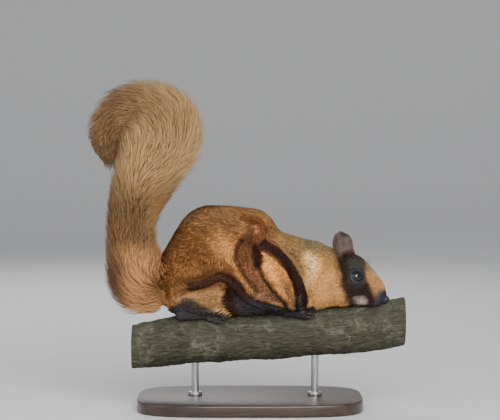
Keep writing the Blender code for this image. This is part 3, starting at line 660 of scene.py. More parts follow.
def rounded_run(keys, count, side=-1):
    """Centres in metres and radii of a round-ended limb through rows of place and radius."""
    keys = np.array(keys, float)
    length = np.linalg.norm(np.diff(keys[:, :3], axis=0), axis=1).sum()
    rows = smooth_run(keys, np.linspace(0, 1, count))
    at = np.linspace(0, 1, count) * length
    reach_a, reach_b = keys[0][3], keys[-1][3]
    near_a, near_b = np.clip(1 - at / reach_a, 0, 1), np.clip(1 - (length - at) / reach_b, 0, 1)
    scale = np.sqrt(np.clip(1 - near_a**2, 0.0004, 1) * np.clip(1 - near_b**2, 0.0004, 1))
    rows[:, 1] *= -side
    return in_metres(rows[:, :3]), rows[:, 3] * scale * MM


def on_branch(x, y0, out_from_bark, turn_more=0.0):
    """A place over the branch's shoulder: x, y and up in millimetres."""
    axis_up, radius = branch_at(x)
    lean = math.asin(min(0.95, abs(y0) / (radius + 5))) + turn_more
    out = radius + out_from_bark
    return x, -out * math.sin(lean), axis_up + out * math.cos(lean)


def paw_rows(foot):
    """Rows of x, y, up and radius of a foot's sole and of each toe."""
    x0, y0, length, half_width, toes, toe_length, heel = foot
    sole = []
    for share, thick in SOLE_RUN:
        thick += heel * (1 - share)
        sole.append((*on_branch(x0 + length * share, y0, thick - 2.0), thick + 0.6))
    digits = []
    for k in range(toes):
        spread = (k - (toes - 1) / 2) / (toes - 1)
        reach = toe_length * (1 - 0.55 * spread * spread)
        keys = []
        for share, thick in TOE_RUN:
            x = x0 + length * 0.86 + reach * share
            radius = branch_at(x)[1]
            more = 0.10 * share + spread * half_width * (1 + 0.5 * share) / radius
            keys.append((*on_branch(x, y0, 3.4 + 1.6 * math.sin(math.pi * share), more), thick))
        digits.append(keys)
    return sole, digits


parts = []
for name in FLESH:
    if "foot" in name:
        continue
    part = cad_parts[name].copy()
    part.data = part.data.copy()
    part.parent = None
    part.matrix_world = Matrix.Identity(4)
    for key in list(part.keys()):
        del part[key]
    bpy.context.scene.collection.objects.link(part)
    work = bmesh.new()
    work.from_mesh(part.data)
    bmesh.ops.remove_doubles(work, verts=work.verts, dist=1e-6)
    work.normal_update()
    shifts = [v.normal * BRIDGE for v in work.verts]
    for vert, shift in zip(work.verts, shifts):
        vert.co += shift
    work.to_mesh(part.data)
    work.free()
    parts.append(part)
for foot in (HAND, FOOT):
    sole, digits = paw_rows(foot)
    for side in (-1, 1):
        parts.append(mesh_from_arrays("sole", *tube(*rounded_run(sole, 26, -side), 20, 0.82)))
        for keys in digits:
            parts.append(mesh_from_arrays("toe", *tube(*rounded_run(keys, 22, -side), 14)))

tail_rows = smooth_run(TAIL_RUN, np.linspace(0, 1, 140))
tail_line = in_metres(tail_rows[:, :3])
tail_share = np.linspace(0, 1, len(tail_rows))
bone = tail_rows[:, 3] * TAIL_BONE * MM * (1 - TAIL_TAPER * tail_share)
bone *= np.sqrt(np.clip((1 - tail_share) / TAIL_TIP_ROUND, 0, 1))
bone[:14] = np.linspace(TAIL_ROOT, bone[14], 14)
parts.append(mesh_from_arrays("tail_core", *tube(tail_line, np.maximum(bone, 0.4 * MM), 28)))

skin = join_pieces(parts)
skin.name = "skin"
apply_modifier(skin, "REMESH", mode="VOXEL", voxel_size=VOXEL, adaptivity=0.0)

# Smoothing is firm on the trunk, and light on what has small forms
place = in_mm(vertices_of(skin))
fold = right_side(place)
face = to_head(place)
edge_gap = np.minimum(line_distance(fold, WING_EDGE)[0], line_distance(fold, ARM_EDGE)[0])
arm_gap = line_distance(fold, FOREARM)[0]
eye_gap = eye_distance(face)
foot_zone = ramp(fold[:, 2], 22, 14) * ramp(place[:, 0], 90, 78) * ramp(place[:, 0], -94, -86)
firm = ramp(edge_gap, 7, 16) * ramp(arm_gap, 12, 24) * (1 - foot_zone) * ramp(face[:, 0], 6, -8)
firm *= ramp(eye_gap, 12, 20)
light = ramp(eye_gap, 9, 12) * (1 - 0.85 * foot_zone) * ramp(face[:, 0], 47, 42)
for name, weights in (("firm", firm), ("light", light)):
    group = skin.vertex_groups.new(name=name)
    for level in np.linspace(0.1, 1.0, 10):
        members = np.flatnonzero(np.abs(weights - level) <= 0.05 + 1e-9)
        group.add(members.tolist(), float(level), "REPLACE")
apply_modifier(skin, "SMOOTH", factor=0.5, iterations=4)
apply_modifier(skin, "SMOOTH", factor=0.5, iterations=14, vertex_group="light")
apply_modifier(skin, "SMOOTH", factor=0.5, iterations=60, vertex_group="firm")
skin.vertex_groups.clear()

FOOT_LINES = []
for foot in (HAND, FOOT):
    sole, digits = paw_rows(foot)
    for keys in digits:
        FOOT_LINES.append([row[:3] for row in (sole[0], sole[1], keys[0], keys[2], keys[4])])


def foot_distance(fold):
    """Distance in millimetres to the middle lines of the soles and toes."""
    return np.min([line_distance(fold, line)[0] for line in FOOT_LINES], axis=0)


# The coat by zone: its depth, the length and width of its tufts in millimetres, and roots to the square
# millimetre
COAT_ZONES = {
    "trunk": (5.5, 14.0, 1.65, 0.76),
    "head": (3.4, 8.5, 1.05, 1.45),
    "muzzle": (1.4, 3.8, 0.6, 3.2),
    "arm": (2.4, 8.0, 1.05, 1.05),
    "leg": (2.6, 8.0, 1.05, 1.05),
    "edge": (1.8, 8.0, 1.05, 1.05),
    "eye": (0.9, 3.2, 0.5, 3.4),
    "foot": (0.7, 3.6, 0.6, 1.8),
    "nose": (0.15, 1.6, 0.4, 2.2),
}
RUMP_LENGTH = 24
# Where the rump's coat converges on the tail's root
TAIL_ROOT_UP = 44


def coat_plan(points_mm):
    """The coat's depth, length, width and density, as in its zones, its lie and the share of tail."""
    fold = right_side(points_mm)
    flip = np.where(points_mm[:, 1:2] > 0, -1.0, 1.0)
    face = to_head(points_mm)
    x, y, up = points_mm.T
    wing_gap, wing_share = line_distance(fold, WING_EDGE)
    web_gap, _ = line_distance(fold, ARM_EDGE)
    arm = ramp(line_distance(fold, FOREARM)[0], 20, 12) * ramp(x, 60, 45)
    leg = ramp(line_distance(fold, SHANK)[0], 20, 13)
    foot = ramp(foot_distance(fold), 12, 9)
    tail = np.maximum(ramp(x, -110, -122), ramp(up, 134, 146))
    rump = ramp(x, -76, -108) * ramp(up, 146, 134)
    zones = {
        "head": ramp(face[:, 0], -42, -26),
        "muzzle": ramp(face[:, 0], 16, 38),
        "arm": arm,
        "leg": leg,
        "edge": np.maximum(ramp(wing_gap, 20, 9), ramp(web_gap, 20, 9)),
        "eye": ramp(eye_distance(face), 17, 9),
        "foot": foot,
        "nose": ramp(face[:, 0], 43, 47),
    }
    plan = np.tile(COAT_ZONES["trunk"], (len(points_mm), 1))
    for zone, mask in zones.items():
        plan += (COAT_ZONES[zone] - plan) * mask[:, None]
    depth, length, width, density = plan.T
    length = length + (RUMP_LENGTH - length) * rump * (1 - foot)

    lie = np.zeros((len(points_mm), 3))
    lie += (-1.0, 0.0, -0.12)
    lie[:, 1] += 0.18 * np.tanh(y / 14)
    lie[:, 2] -= 0.5 * ramp(np.abs(y), 20, 55)
    # On the head the coat runs back from the nose, over the crown and down the cheeks
    back = -HEAD_AXES[0] + 0.25 * HEAD_AXES[1] * np.tanh(face[:, 1:2] / 9) - 0.25 * HEAD_AXES[2]
    lie += (back - lie) * ramp(face[:, 0], -45, -20)[:, None]

    def along(line, mask, share_shift=0.06):
        nonlocal lie
        _, share = line_distance(fold, line)
        ahead = smooth_run(line, share + share_shift) - smooth_run(line, share - share_shift)
        ahead[:, 1:2] *= flip
        lie += (unit(ahead) - lie) * mask[:, None]

    along(THIGH, ramp(line_distance(fold, THIGH)[0], 34, 24) * 0.6)
    along(SHANK, leg)
    along(UPPER_ARM, ramp(line_distance(fold, UPPER_ARM)[0], 24, 16) * 0.6)
    along(FOREARM, arm)
    to_edge = smooth_run(WING_EDGE, wing_share) - fold
    to_edge = unit(to_edge) * 0.5 + (-0.75, 0, -0.3)
    to_edge[:, 1:2] *= flip
    lie += (to_edge - lie) * (ramp(wing_gap, 26, 14) * (1 - arm) * 0.85)[:, None]
    along(ARM_EDGE, ramp(web_gap, 16, 9))
    to_tail = np.stack([np.full(len(fold), -1.0), -y / 60, (TAIL_ROOT_UP - up) / 60], 1)
    lie += (to_tail - lie) * (rump * 0.85)[:, None]
    lie += (np.array((1.0, 0, -0.1)) - lie) * foot[:, None]
    return depth, length, width, density, lie, tail


# Folds and swellings are placed on a sheet held against the right side, one step 1.2 mm, and mirrored to
# the left. The sheet's corner is where the animal's x = 0 meets the branch's seat, and its sight point is
# the camera's.
SHEET_STEP = 1.2
SHEET_MIDDLE = (VIEW_MIDDLE.z - SEAT) / MM
SHEET_DISTANCE = VIEW_DISTANCE / MM
SHEET_CORNER = (250, 313)
# Height in millimetres, reach to either side in steps, line on the sheet
FOLDS = (
    (-3.4, 2.6, ((281, 229), (277, 231), (273, 236))),
    (3.2, 6.5, ((259, 213), (267, 220))),
    (3.0, 7.0, ((318, 247), (332, 251))),
    (2.6, 6.0, ((362, 264), (373, 275), (379, 285))),
    (-1.6, 1.7, ((246, 218), (254, 222), (258, 230), (257, 238))),
    (-1.3, 1.4, ((262, 221), (268, 228), (264, 238))),
    (-2.2, 2.4, ((255, 231), (252, 239), (248, 245))),
    (-2.4, 2.2, ((241, 239), (235, 249), (235, 259), (240, 270), (248, 283), (257, 293))),
    (-3.8, 2.8, ((256, 248), (260, 256), (260, 264), (257, 269))),
    (-2.2, 1.5, ((257, 270), (264, 281), (271, 289), (279, 297), (287, 306))),
    (1.4, 2.6, ((250, 250), (251, 266), (256, 279), (264, 291))),
    (-2.2, 2.2, ((268, 238), (280, 244), (292, 256), (302, 272), (309, 290), (313, 306))),
    (-1.8, 2.2, ((197, 226), (208, 233), (218, 241))),
    (-1.6, 2.2, ((205, 250), (215, 256), (225, 263), (234, 272))),
    (1.8, 5.0, ((210, 236), (224, 248), (234, 259), (242, 272), (252, 286), (262, 297))),
    (-1.4, 2.4, ((180, 260), (198, 264), (214, 268))),
    (-2.4, 2.4, ((183, 294), (200, 293), (210, 290.5), (220, 288), (227, 290), (228, 302))),
    (-1.5, 2.2, ((186, 277), (200, 277), (210, 273), (220, 267), (231, 268), (240, 276), (248, 290))),
    (1.8, 8.0, ((196, 246), (206, 256))),
    (-1.4, 2.4, ((206, 214), (222, 222), (236, 234), (242, 240))),
    (-1.5, 3.0, ((312, 252), (307, 268), (309, 290))),
)


def sheet_places(points_mm):
    """Where points come on the side sheet; the head is mirrored in its own frame."""
    points_mm = np.asarray(points_mm, float)
    face = to_head(points_mm)
    mirrored = np.stack([face[:, 0], -np.abs(face[:, 1]), face[:, 2]], 1) @ HEAD_AXES + HEAD_AT
    share = ramp(face[:, 0], -60, -40)[:, None]
    folded = right_side(points_mm) * (1 - share) + mirrored * share
    tilt_s, tilt_c = math.sin(VIEW_TILT), math.cos(VIEW_TILT)
    rise = folded[:, 2] - SHEET_MIDDLE
    near = SHEET_DISTANCE / (SHEET_DISTANCE + folded[:, 1] * tilt_c - rise * tilt_s)
    x = folded[:, 0] * near
    up = (folded[:, 1] * tilt_s + rise * tilt_c) * near + SHEET_MIDDLE
    return np.stack([SHEET_CORNER[0] + x / SHEET_STEP, SHEET_CORNER[1] - up / SHEET_STEP], 1)


def fold_height(points_mm):
    """How far the folds and swellings move the skin out, in millimetres."""
    sheet = sheet_places(points_mm)
    total = np.zeros(len(points_mm))
    on_side = ramp(np.abs(points_mm[:, 1]), 8, 24)
    for height, reach, line in FOLDS:
        swell = height * np.exp(-0.7 * (line_distance(sheet, line)[0] / reach) ** 2)
        total += swell if height > 2 else swell * on_side
    return total


surface = vertices_of(skin)
outward = normals_of(skin)
surface = surface + outward * (fold_height(in_mm(surface)) * MM)[:, None]
depth, _, _, _, _, tail = coat_plan(in_mm(surface))
move_vertices(skin, surface - outward * (depth * (1 - tail) * MM)[:, None])
apply_modifier(skin, "SMOOTH", factor=0.35, iterations=2)


# Markings
# The coat is chestnut above and peach below, olive on the shoulders, with a dark mask, dark free edges on
# the membranes and dark feet. Painted shade in the creases and on the tail's rear side, painted shadows along
# the back, in the elbow's pocket and above the hind foot, and painted highlights on the raised folds are laid
# in with them. The same rules colour the skin and every tuft; they are drawn on a sheet held against the
# right side, one step 1.2 mm, and mirrored to the left side.

def colour(red, green, blue):
    """A shade of paint as the linear values that materials use."""
    value = np.array((red, green, blue)) / 255
    return np.where(value <= 0.04045, value / 12.92, ((value + 0.055) / 1.055) ** 2.4)


def inside_outline(points, outline, soft):
    """1 inside a closed outline on the sheet, 0 outside, smooth over soft steps."""
    outline = np.array(outline, float)
    inside = np.zeros(len(points), bool)
    for a, b in zip(outline, np.roll(outline, -1, axis=0)):
        crosses = (a[1] > points[:, 1]) != (b[1] > points[:, 1])
        with np.errstate(divide="ignore", invalid="ignore"):
            at = (b[0] - a[0]) * (points[:, 1] - a[1]) / (b[1] - a[1]) + a[0]
        inside ^= crosses & (points[:, 0] < at)
    gap, _ = line_distance(points, np.concatenate([outline, outline[:1]]))
    return ramp(np.where(inside, gap, -gap), -soft, soft)


# Areas: colour, softness in steps, strength, outline on the sheet
AREAS = (
    # the painted shadow along the back's top edge, painted shade over the hip and the flank below it, and a
    # painted highlight on the flank's raised folds
    (
        (62, 36, 24), 3, 0.9,
        ((176, 198), (236, 197), (242, 203), (230, 206.5), (212, 208), (196, 209), (186, 214), (176, 222)),
    ),
    (
        (136, 88, 46), 7, 0.8,
        ((176, 226), (196, 226), (226, 252), (236, 266), (224, 272), (204, 282), (176, 284)),
    ),
    ((136, 92, 50), 5, 0.6, ((188, 266), (206, 264), (218, 268), (206, 280), (186, 280))),
    (
        (208, 144, 82), 7, 0.85,
        ((208, 236), (222, 234), (236, 244), (233, 260), (243, 274), (254, 288), (264, 297), (256, 298),
         (240, 282), (226, 268), (214, 252)),
    ),
    (
        (198, 150, 98), 2.5, 0.95,
        ((178, 291), (200, 291.5), (210, 289), (222, 286), (227, 290), (227, 303), (232, 311), (238, 320),
         (176, 320)),
    ),
    # the arm's web and the breast behind it
    (
        (252, 176, 94), 2.5, 1.0,
        ((259, 251), (264, 253), (272, 259), (281, 266), (289, 275), (295, 287), (298, 303), (290, 303),
         (281, 297), (273, 289), (266, 280), (260, 271)),
    ),
    ((160, 116, 70), 5, 0.85, ((276, 282), (292, 282), (298, 304), (288, 304))),
    # shoulder, nape, throat and cheek
    (
        (152, 119, 74), 7, 0.85,
        ((274, 230), (330, 232), (332, 252), (312, 258), (303, 290), (290, 262), (276, 244)),
    ),
    ((122, 108, 78), 6, 0.85, ((300, 236), (338, 236), (338, 252), (318, 254), (304, 246))),
    (
        (220, 162, 98), 6, 0.9,
        ((320, 258), (340, 254), (343, 275), (350, 300), (348, 316), (300, 316), (306, 296), (311, 274)),
    ),
    ((178, 116, 66), 6, 0.75, ((304, 284), (314, 284), (314, 300), (306, 304))),
    ((158, 118, 66), 6, 0.7, ((322, 254), (338, 254), (340, 268), (326, 272))),
)
# Strokes: colour at the start, colour at the end, half width, softness, strength, line on the sheet
STROKES = (
    # painted shadow under the elbow, and painted shade in the notch behind the lobe
    ((70, 42, 26), (74, 42, 26), 1.6, 2.8, 0.85, ((255, 231), (252, 238), (249, 246))),
    ((112, 76, 40), (108, 72, 38), 1.6, 3.2, 0.75, ((272, 226), (275, 231), (277, 236))),
    # the pale cream patch on the front of the shoulder, brightened as a painted highlight
    ((255, 216, 150), (226, 174, 112), 0.8, 10.0, 0.95, ((312, 259), (314.5, 265), (313, 272), (309, 284))),
    # painted shade along the creases of the flank and the hump
    ((112, 68, 38), (116, 72, 42), 0.6, 2.4, 0.6, ((197, 226), (208, 233), (217, 240))),
    ((112, 68, 38), (120, 76, 46), 0.6, 2.4, 0.65, ((205, 250), (215, 256), (225, 263), (232, 270))),
    ((126, 80, 46), (120, 74, 42), 0.8, 2.6, 0.5, ((206, 214), (222, 222), (236, 234))),
)
# The band before the wrist, painted shadow in the pocket behind the forearm and above the hind foot, painted
# shade in the thin dark creases and painted highlights on the lobe and the forearm, laid over the limbs
OVER_AREAS = (
    (
        (152, 106, 66), 3, 0.9,
        ((253, 222), (264, 219), (271, 226), (277, 236), (271, 241), (263, 238.5), (256, 238), (253, 232)),
    ),
    (
        (78, 66, 64), 3, 1.0,
        ((168, 311), (178, 302), (186, 299.5), (197, 302.5), (208, 307.5), (217, 314), (222, 322),
         (168, 322)),
    ),
    (
        (172, 128, 92), 3, 0.8,
        ((249, 291), (260, 289), (270, 295), (279, 302), (272, 307), (260, 304), (252, 298)),
    ),
    ((220, 162, 108), 2, 0.9, ((267, 300), (274, 299.5), (283, 304), (290, 311), (280, 311), (272, 307))),
    (
        (70, 60, 62), 2, 1.0,
        ((226, 289), (231, 284), (237, 285), (243, 291), (250, 297.5), (257, 303), (264, 307), (276, 310),
         (290, 313), (290, 322), (236, 322), (231, 311), (227, 303)),
    ),
    # painted shadow in the pocket behind the forearm
    (
        (58, 31, 16), 1.8, 1.0,
        ((253, 243), (258, 247), (262, 255), (264.5, 262), (262, 268), (257, 271), (253, 263), (251, 250)),
    ),
)
OVER_STROKES = (
    # the reddish-brown arc round the lobe, darkened as painted shade in its crease
    (
        (116, 66, 32), (112, 62, 32), 2.8, 2.6, 0.9,
        ((245, 219), (253, 220), (260, 223), (264, 229), (262, 235), (256, 238)),
    ),
    # painted shadow under the elbow, deepening into the forearm's bend
    ((112, 66, 36), (84, 46, 24), 2.0, 2.6, 0.85, ((252, 226), (251, 232), (249, 240))),
    # painted highlights on the lobe
    ((164, 118, 80), (164, 118, 80), 1.0, 2.0, 0.85, ((245, 223), (247, 225.5))),
    ((172, 114, 84), (172, 114, 84), 1.0, 1.8, 0.8, ((256.5, 227), (258, 230))),
    ((54, 27, 14), (58, 30, 18), 2.6, 3.4, 0.9, ((231, 284), (229, 297), (233, 308), (236, 314))),
    ((84, 54, 44), (78, 62, 60), 1.6, 3.0, 0.6, ((237, 286), (243, 296), (250, 303))),
    ((82, 80, 86), (80, 76, 84), 1.2, 3.2, 0.6, ((246, 303), (254, 308), (264, 310))),
    # painted shade in the thin crease beside the forearm
    (
        (74, 38, 18), (64, 36, 24), 0.8, 1.3, 0.85,
        ((257, 268), (264, 281), (271, 289), (279, 297), (286, 304)),
    ),
    # painted shade in the crease along the forearm's back edge
    (
        (56, 30, 22), (64, 36, 24), 1.2, 2.4, 0.6,
        ((241, 240), (236, 249), (236, 258), (241, 268), (249, 282), (256, 290)),
    ),
    # a painted highlight along the forearm's ridge
    ((120, 76, 48), (140, 92, 62), 0.8, 2.4, 0.3, ((250, 258), (251, 266), (256, 279), (263, 289))),
    # a painted shadow along the top of the hind foot
    ((52, 38, 33), (56, 44, 40), 0.8, 1.8, 0.6, ((184, 299), (197, 302), (208, 307), (217, 313.5))),
)
# The head: the mask from ear to muzzle, its lighter patches and the lip
FACE_AREAS = (
    (
        (46, 29, 21), 4.5, 1.0,
        ((336, 240), (349, 240), (360, 254), (367, 262), (370, 282), (376, 300), (374, 312), (351, 309),
         (346, 298), (341, 284), (338, 262)),
    ),
    ((68, 62, 58), 4.0, 1.0, ((349, 260), (358, 256), (366, 264), (367, 282), (358, 289), (349, 282))),
    ((46, 32, 32), 3.5, 0.9, ((346, 287), (368, 288), (373, 300), (364, 297), (352, 296))),
    (
        (180, 136, 86), 3.0, 1.0,
        ((367, 264), (373, 266), (382, 277), (386, 290), (378, 296), (370, 288), (367, 276)),
    ),
    ((134, 112, 86), 3.0, 0.8, ((366, 262), (372, 264), (377, 271), (372, 274), (367, 270))),
    ((66, 67, 70), 3.0, 1.0, ((375, 296), (381, 290), (388, 291), (394, 300), (392, 309), (373, 308))),
    ((184, 158, 150), 3.2, 0.85, ((355, 299), (362, 297), (368, 300), (366, 305), (357, 305))),
)
FACE_STROKES = (
    ((54, 34, 30), (52, 32, 30), 1.2, 2.6, 0.85, ((367, 286), (370, 296), (372, 305))),
    ((96, 58, 56), (96, 58, 56), 0.5, 2.4, 0.6, ((349, 299), (351, 301.5))),
)


# The forearm, from the elbow to the wrist
ARM_SHADES = (
    (90, 54, 32), (52, 30, 17), (56, 33, 19), (66, 39, 21),
    (82, 49, 28), (118, 74, 44), (154, 106, 70), (66, 52, 50),
)
# The skin under the coat is a little darker than the coat
SKIN_SHADE = 0.95


def coat_colour(points_mm):
    """The coat's linear colour, with its painted shade and highlights, at points given in millimetres."""
    points_mm = np.asarray(points_mm, float)
    fold = right_side(points_mm)
    sheet = sheet_places(points_mm)
    sheet = sheet + np.stack([waves(points_mm, 16, 81, 2), waves(points_mm, 16, 82, 2)], 1) * 1.1
    face = to_head(points_mm)
    x, side, up = points_mm[:, 0], np.abs(points_mm[:, 1]), points_mm[:, 2]
    along, down = sheet.T
    paint = np.tile(colour(150, 100, 56), (len(points_mm), 1))

    def lay(mask, shade):
        nonlocal paint
        paint = paint + (shade - paint) * np.clip(mask, 0, 1)[:, None]

    def lay_areas(areas, share_of=1.0):
        for shade, soft, strength, outline in areas:
            lay(inside_outline(sheet, outline, soft) * strength * share_of, colour(*shade))

    def lay_strokes(strokes, share_of=1.0):
        for first, last, half, soft, strength, line in strokes:
            gap, share = line_distance(sheet, line)
            shade = colour(*first) + (colour(*last) - colour(*first)) * share[:, None]
            lay(ramp(gap, half + soft, half) * strength * share_of, shade)

    # The trunk: chestnut above and peach below, olive towards the shoulders, unevenly mottled
    body = 1 - ramp(face[:, 0], -44, -30)
    lay(ramp(up, 80, 124) * 0.8, colour(134, 102, 62))
    lay(ramp(side, 24, 8) * ramp(up, 60, 90) * body * 0.8, colour(130, 86, 52))
    lay(ramp(side, 30, 52) * ramp(up, 96, 60) * 0.5, colour(188, 128, 74))
    lay(ramp(up, 24, 8), colour(208, 150, 98))
    lay(ramp(up, 60, 90) * ramp(along, 276, 290) * body * 0.6, colour(156, 120, 76))
    stretched = points_mm * (0.5, 1, 1)
    lay(0.35 * ramp(waves(stretched, 15, 85, 3), 0.1, 0.8) * body, colour(118, 70, 42))
    lay(0.25 * ramp(waves(stretched, 12, 86, 3), 0.2, 0.9) * body, colour(212, 156, 100))
    # The listed areas and strokes lay in the markings, with painted shadow along the back's top edge, painted
    # shade in the creases and over the hip, and painted highlights on the raised folds and the shoulder's
    # cream patch
    lay_areas(AREAS)
    lay_strokes(STROKES)

    # The forearm is brown, darkest at its bend, and pinkish towards the hand
    gap, share = line_distance(fold, FOREARM)
    skin_shade = smooth_run([[*colour(*c)] for c in ARM_SHADES], share)
    lay(ramp(gap, 14.8, 11.5) * ramp(side, 22, 32) * ramp(up, 103, 88) * 0.95, skin_shade)
    lay(ramp(gap, 12, 8) * ramp(side, 18, 24) * ramp(up, 34, 26) * 0.9, skin_shade)
    # Then the marks laid over the limbs, among them painted shadows in the elbow's pocket and above the hind
    # foot, painted shade in the creases and painted highlights on the lobe and the forearm's ridge
    lay_areas(OVER_AREAS)
    lay_strokes(OVER_STROKES)
    # The web's leading edge, with a thin reddish line inside it
    gap, share = line_distance(fold, ARM_EDGE)
    lay(ramp(gap, 9.8, 6.4), colour(50, 27, 18))
    gap, _ = line_distance(sheet, ((259, 248), (268, 252.5), (277, 259.5), (284, 266)))
    lay(ramp(gap, 2.6, 0.8) * 0.7, colour(82, 44, 28))
    # The flank membrane's edge, fading out behind, and the blue-black band before the wrist
    gap, share = line_distance(fold, WING_EDGE)
    thick = 1 + 0.30 * ramp(share, 0.36, 0.46) * ramp(share, 0.66, 0.56)
    lay(ramp(gap / thick, 8.6, 5.4) * ramp(share, 0.94, 0.86), colour(72, 41, 25))
    lay(ramp(gap / thick, 8.6, 5.4) * ramp(share, 0.86, 0.94), colour(150, 100, 62))
    lay(ramp(gap / thick, 9.0, 5.0) * ramp(share, 0.68, 0.52), colour(50, 28, 18))
    lay(ramp(gap, 7.5, 4.5) * ramp(share, 0.36, 0.28), colour(48, 45, 50))
    # Feet
    foot = ramp(foot_distance(fold), 13, 10.5) * ramp(up, 24, 18)
    lay(foot * ramp(x, 10, 0), colour(66, 59, 60))
    lay(foot * ramp(x, 34, 40), colour(50, 42, 46))
    streak, _ = line_distance(sheet, ((298, 296), (300, 304), (302, 311)))
    lay(ramp(streak, 3.4, 1.4) * ramp(up, 30, 24) * 0.6, colour(92, 84, 84))

    # The head
    on_head = ramp(face[:, 0], -40, -28)
    lay(on_head * ramp(face[:, 2], 10, 24) * ramp(face[:, 0], 10, -6) * 0.8, colour(138, 118, 84))
    lay_areas(FACE_AREAS, on_head)
    lay_strokes(FACE_STROKES, on_head)
    lay(ramp(eye_distance(face), 12.5, 10.0) * 0.8 * on_head, colour(50, 50, 56))
    lay(ramp(face[:, 0], 42, 46.5), colour(44, 46, 56))

    # The tail is brown, with painted shade behind, on the side turned from the light, where it curls over and
    # below
    tail = np.maximum(ramp(x, -96, -136), ramp(up, 134, 146))
    lay(tail, colour(176, 143, 98))
    lay(tail * ramp(along, 134, 108) * 0.55, colour(112, 76, 50))
    lay(tail * ramp(down, 122, 96) * ramp(along, 168, 112) * 0.5, colour(112, 78, 52))
    lay(tail * ramp(down, 165, 215) * ramp(down, 262, 240) * 0.95, colour(108, 80, 52))
    lay(tail * ramp(down, 238, 262) * ramp(along, 112, 132) * 0.85, colour(206, 146, 96))
    lay(tail * ramp(down, 244, 272) * ramp(along, 132, 116) * 0.75, colour(84, 56, 42))
    return paint


def paint_vertices(piece, shades):
    """Writes linear colours to the piece's vertices as the attribute that its material reads."""
    layer = piece.data.color_attributes.new(name="Coat", type="FLOAT_COLOR", domain="POINT")
    values = np.ones((len(piece.data.vertices), 4), np.float32)
    values[:, :3] = np.clip(shades, 0, 1)
    layer.data.foreach_set("color", values.ravel())


fur = Look("fur", 0.62)
fur.set("Base Color", fur.node("Attribute", {"attribute_name": "Coat"}, None, "Color"))
fur.set("Specular IOR Level", 0.18)

under_fur = Look("under_fur", 0.85)
shade = under_fur.node("Attribute", {"attribute_name": "Coat"}, None, "Color")
strands = under_fur.noise(under_fur.place((260, 1100, 900)), 1.0, 4, 0.6, 0.5)
hollows = under_fur.mix(1.0, shade, (0.7, 0.65, 0.62), "MULTIPLY")
under_fur.two_tone(strands.between(0.3, 0.7), hollows, shade)
under_fur.set("Specular IOR Level", 0.25)
under_fur.bump(strands, 0.5, 0.0008)

finish_piece(skin, "skin", under_fur, "orange_fur", *FLESH, *TAIL_NODES)
paint_vertices(skin, coat_colour(in_mm(surface)) * SKIN_SHADE)
skin.data.shade_smooth()


# Short coat
# Short dense fur over the whole body, in thin tufts that lie from nose to tail and down the limbs: finest
# on the face and feet, longest on the back. Each tuft is a slim closed blade that bends with the skin.

COAT_SEED = 7
# The most triangles in a piece of the coat, and how many a tuft of two rings has
COAT_TRIANGLES = 196000
TUFT_TRIANGLES = 10
# Locks: how wide in millimetres, and how far their tips draw together
CLUMP = 6.5
CLUMP_PULL = 0.22
# A tuft's colour at its root, middle and tip, as shares of the coat's
TUFT_SHADES = (0.80, 0.95, 1.05)
# A tuft's three-cornered section as shares of its width, and its patch on the unwrap
TUFT_RING = np.array(((-0.5, 0.0), (0.5, 0.0), (0.0, 0.42)))
PATCH = 0.003


def faces_tree(piece):
    mesh = piece.data
    places = [v.co.copy() for v in mesh.vertices]
    return BVHTree.FromPolygons(places, [p.vertices[:] for p in mesh.polygons])


def unwrap_lookup(piece, faces_kept):
    """A coarse copy of the piece, unwrapped; a function that finds the unwrap's place of any points."""
    bpy.ops.object.select_all(action="DESELECT")
    coarse = piece.copy()
    coarse.data = piece.data.copy()
    for key in list(coarse.keys()):
        del coarse[key]
    coarse.parent = None
    bpy.context.scene.collection.objects.link(coarse)
    apply_modifier(coarse, "DECIMATE", ratio=faces_kept / (2 * len(piece.data.polygons)))
    apply_modifier(coarse, "TRIANGULATE")
    bpy.ops.object.mode_set(mode="EDIT")
    bpy.ops.mesh.select_all(action="SELECT")
    bpy.ops.uv.smart_project(angle_limit=math.radians(66), island_margin=0.003)
    bpy.ops.object.mode_set(mode="OBJECT")
    tree = faces_tree(coarse)
    corners = vertices_of(coarse)[np.array([p.vertices[:] for p in coarse.data.polygons])]
    uvs = np.zeros(len(coarse.data.loops) * 2)
    coarse.data.uv_layers.active.data.foreach_get("uv", uvs)
    uvs = uvs.reshape(-1, 3, 2)
    bpy.data.objects.remove(coarse)

    def lookup(points):
        found = [tree.find_nearest(Vector(p)) for p in points]
        k = np.array([f[2] for f in found])
        near = np.array([f[0] for f in found])
        a, b, c = corners[k, 0], corners[k, 1], corners[k, 2]
        ab, ac, ap = b - a, c - a, near - a
        d00, d01, d11 = (ab * ab).sum(1), (ab * ac).sum(1), (ac * ac).sum(1)
        d20, d21 = (ap * ab).sum(1), (ap * ac).sum(1)
        whole = np.maximum(d00 * d11 - d01 * d01, 1e-20)
        v, w = (d11 * d20 - d01 * d21) / whole, (d00 * d21 - d01 * d20) / whole
        u = 1 - v - w
        return uvs[k, 0] * u[:, None] + uvs[k, 1] * v[:, None] + uvs[k, 2] * w[:, None]

    return lookup


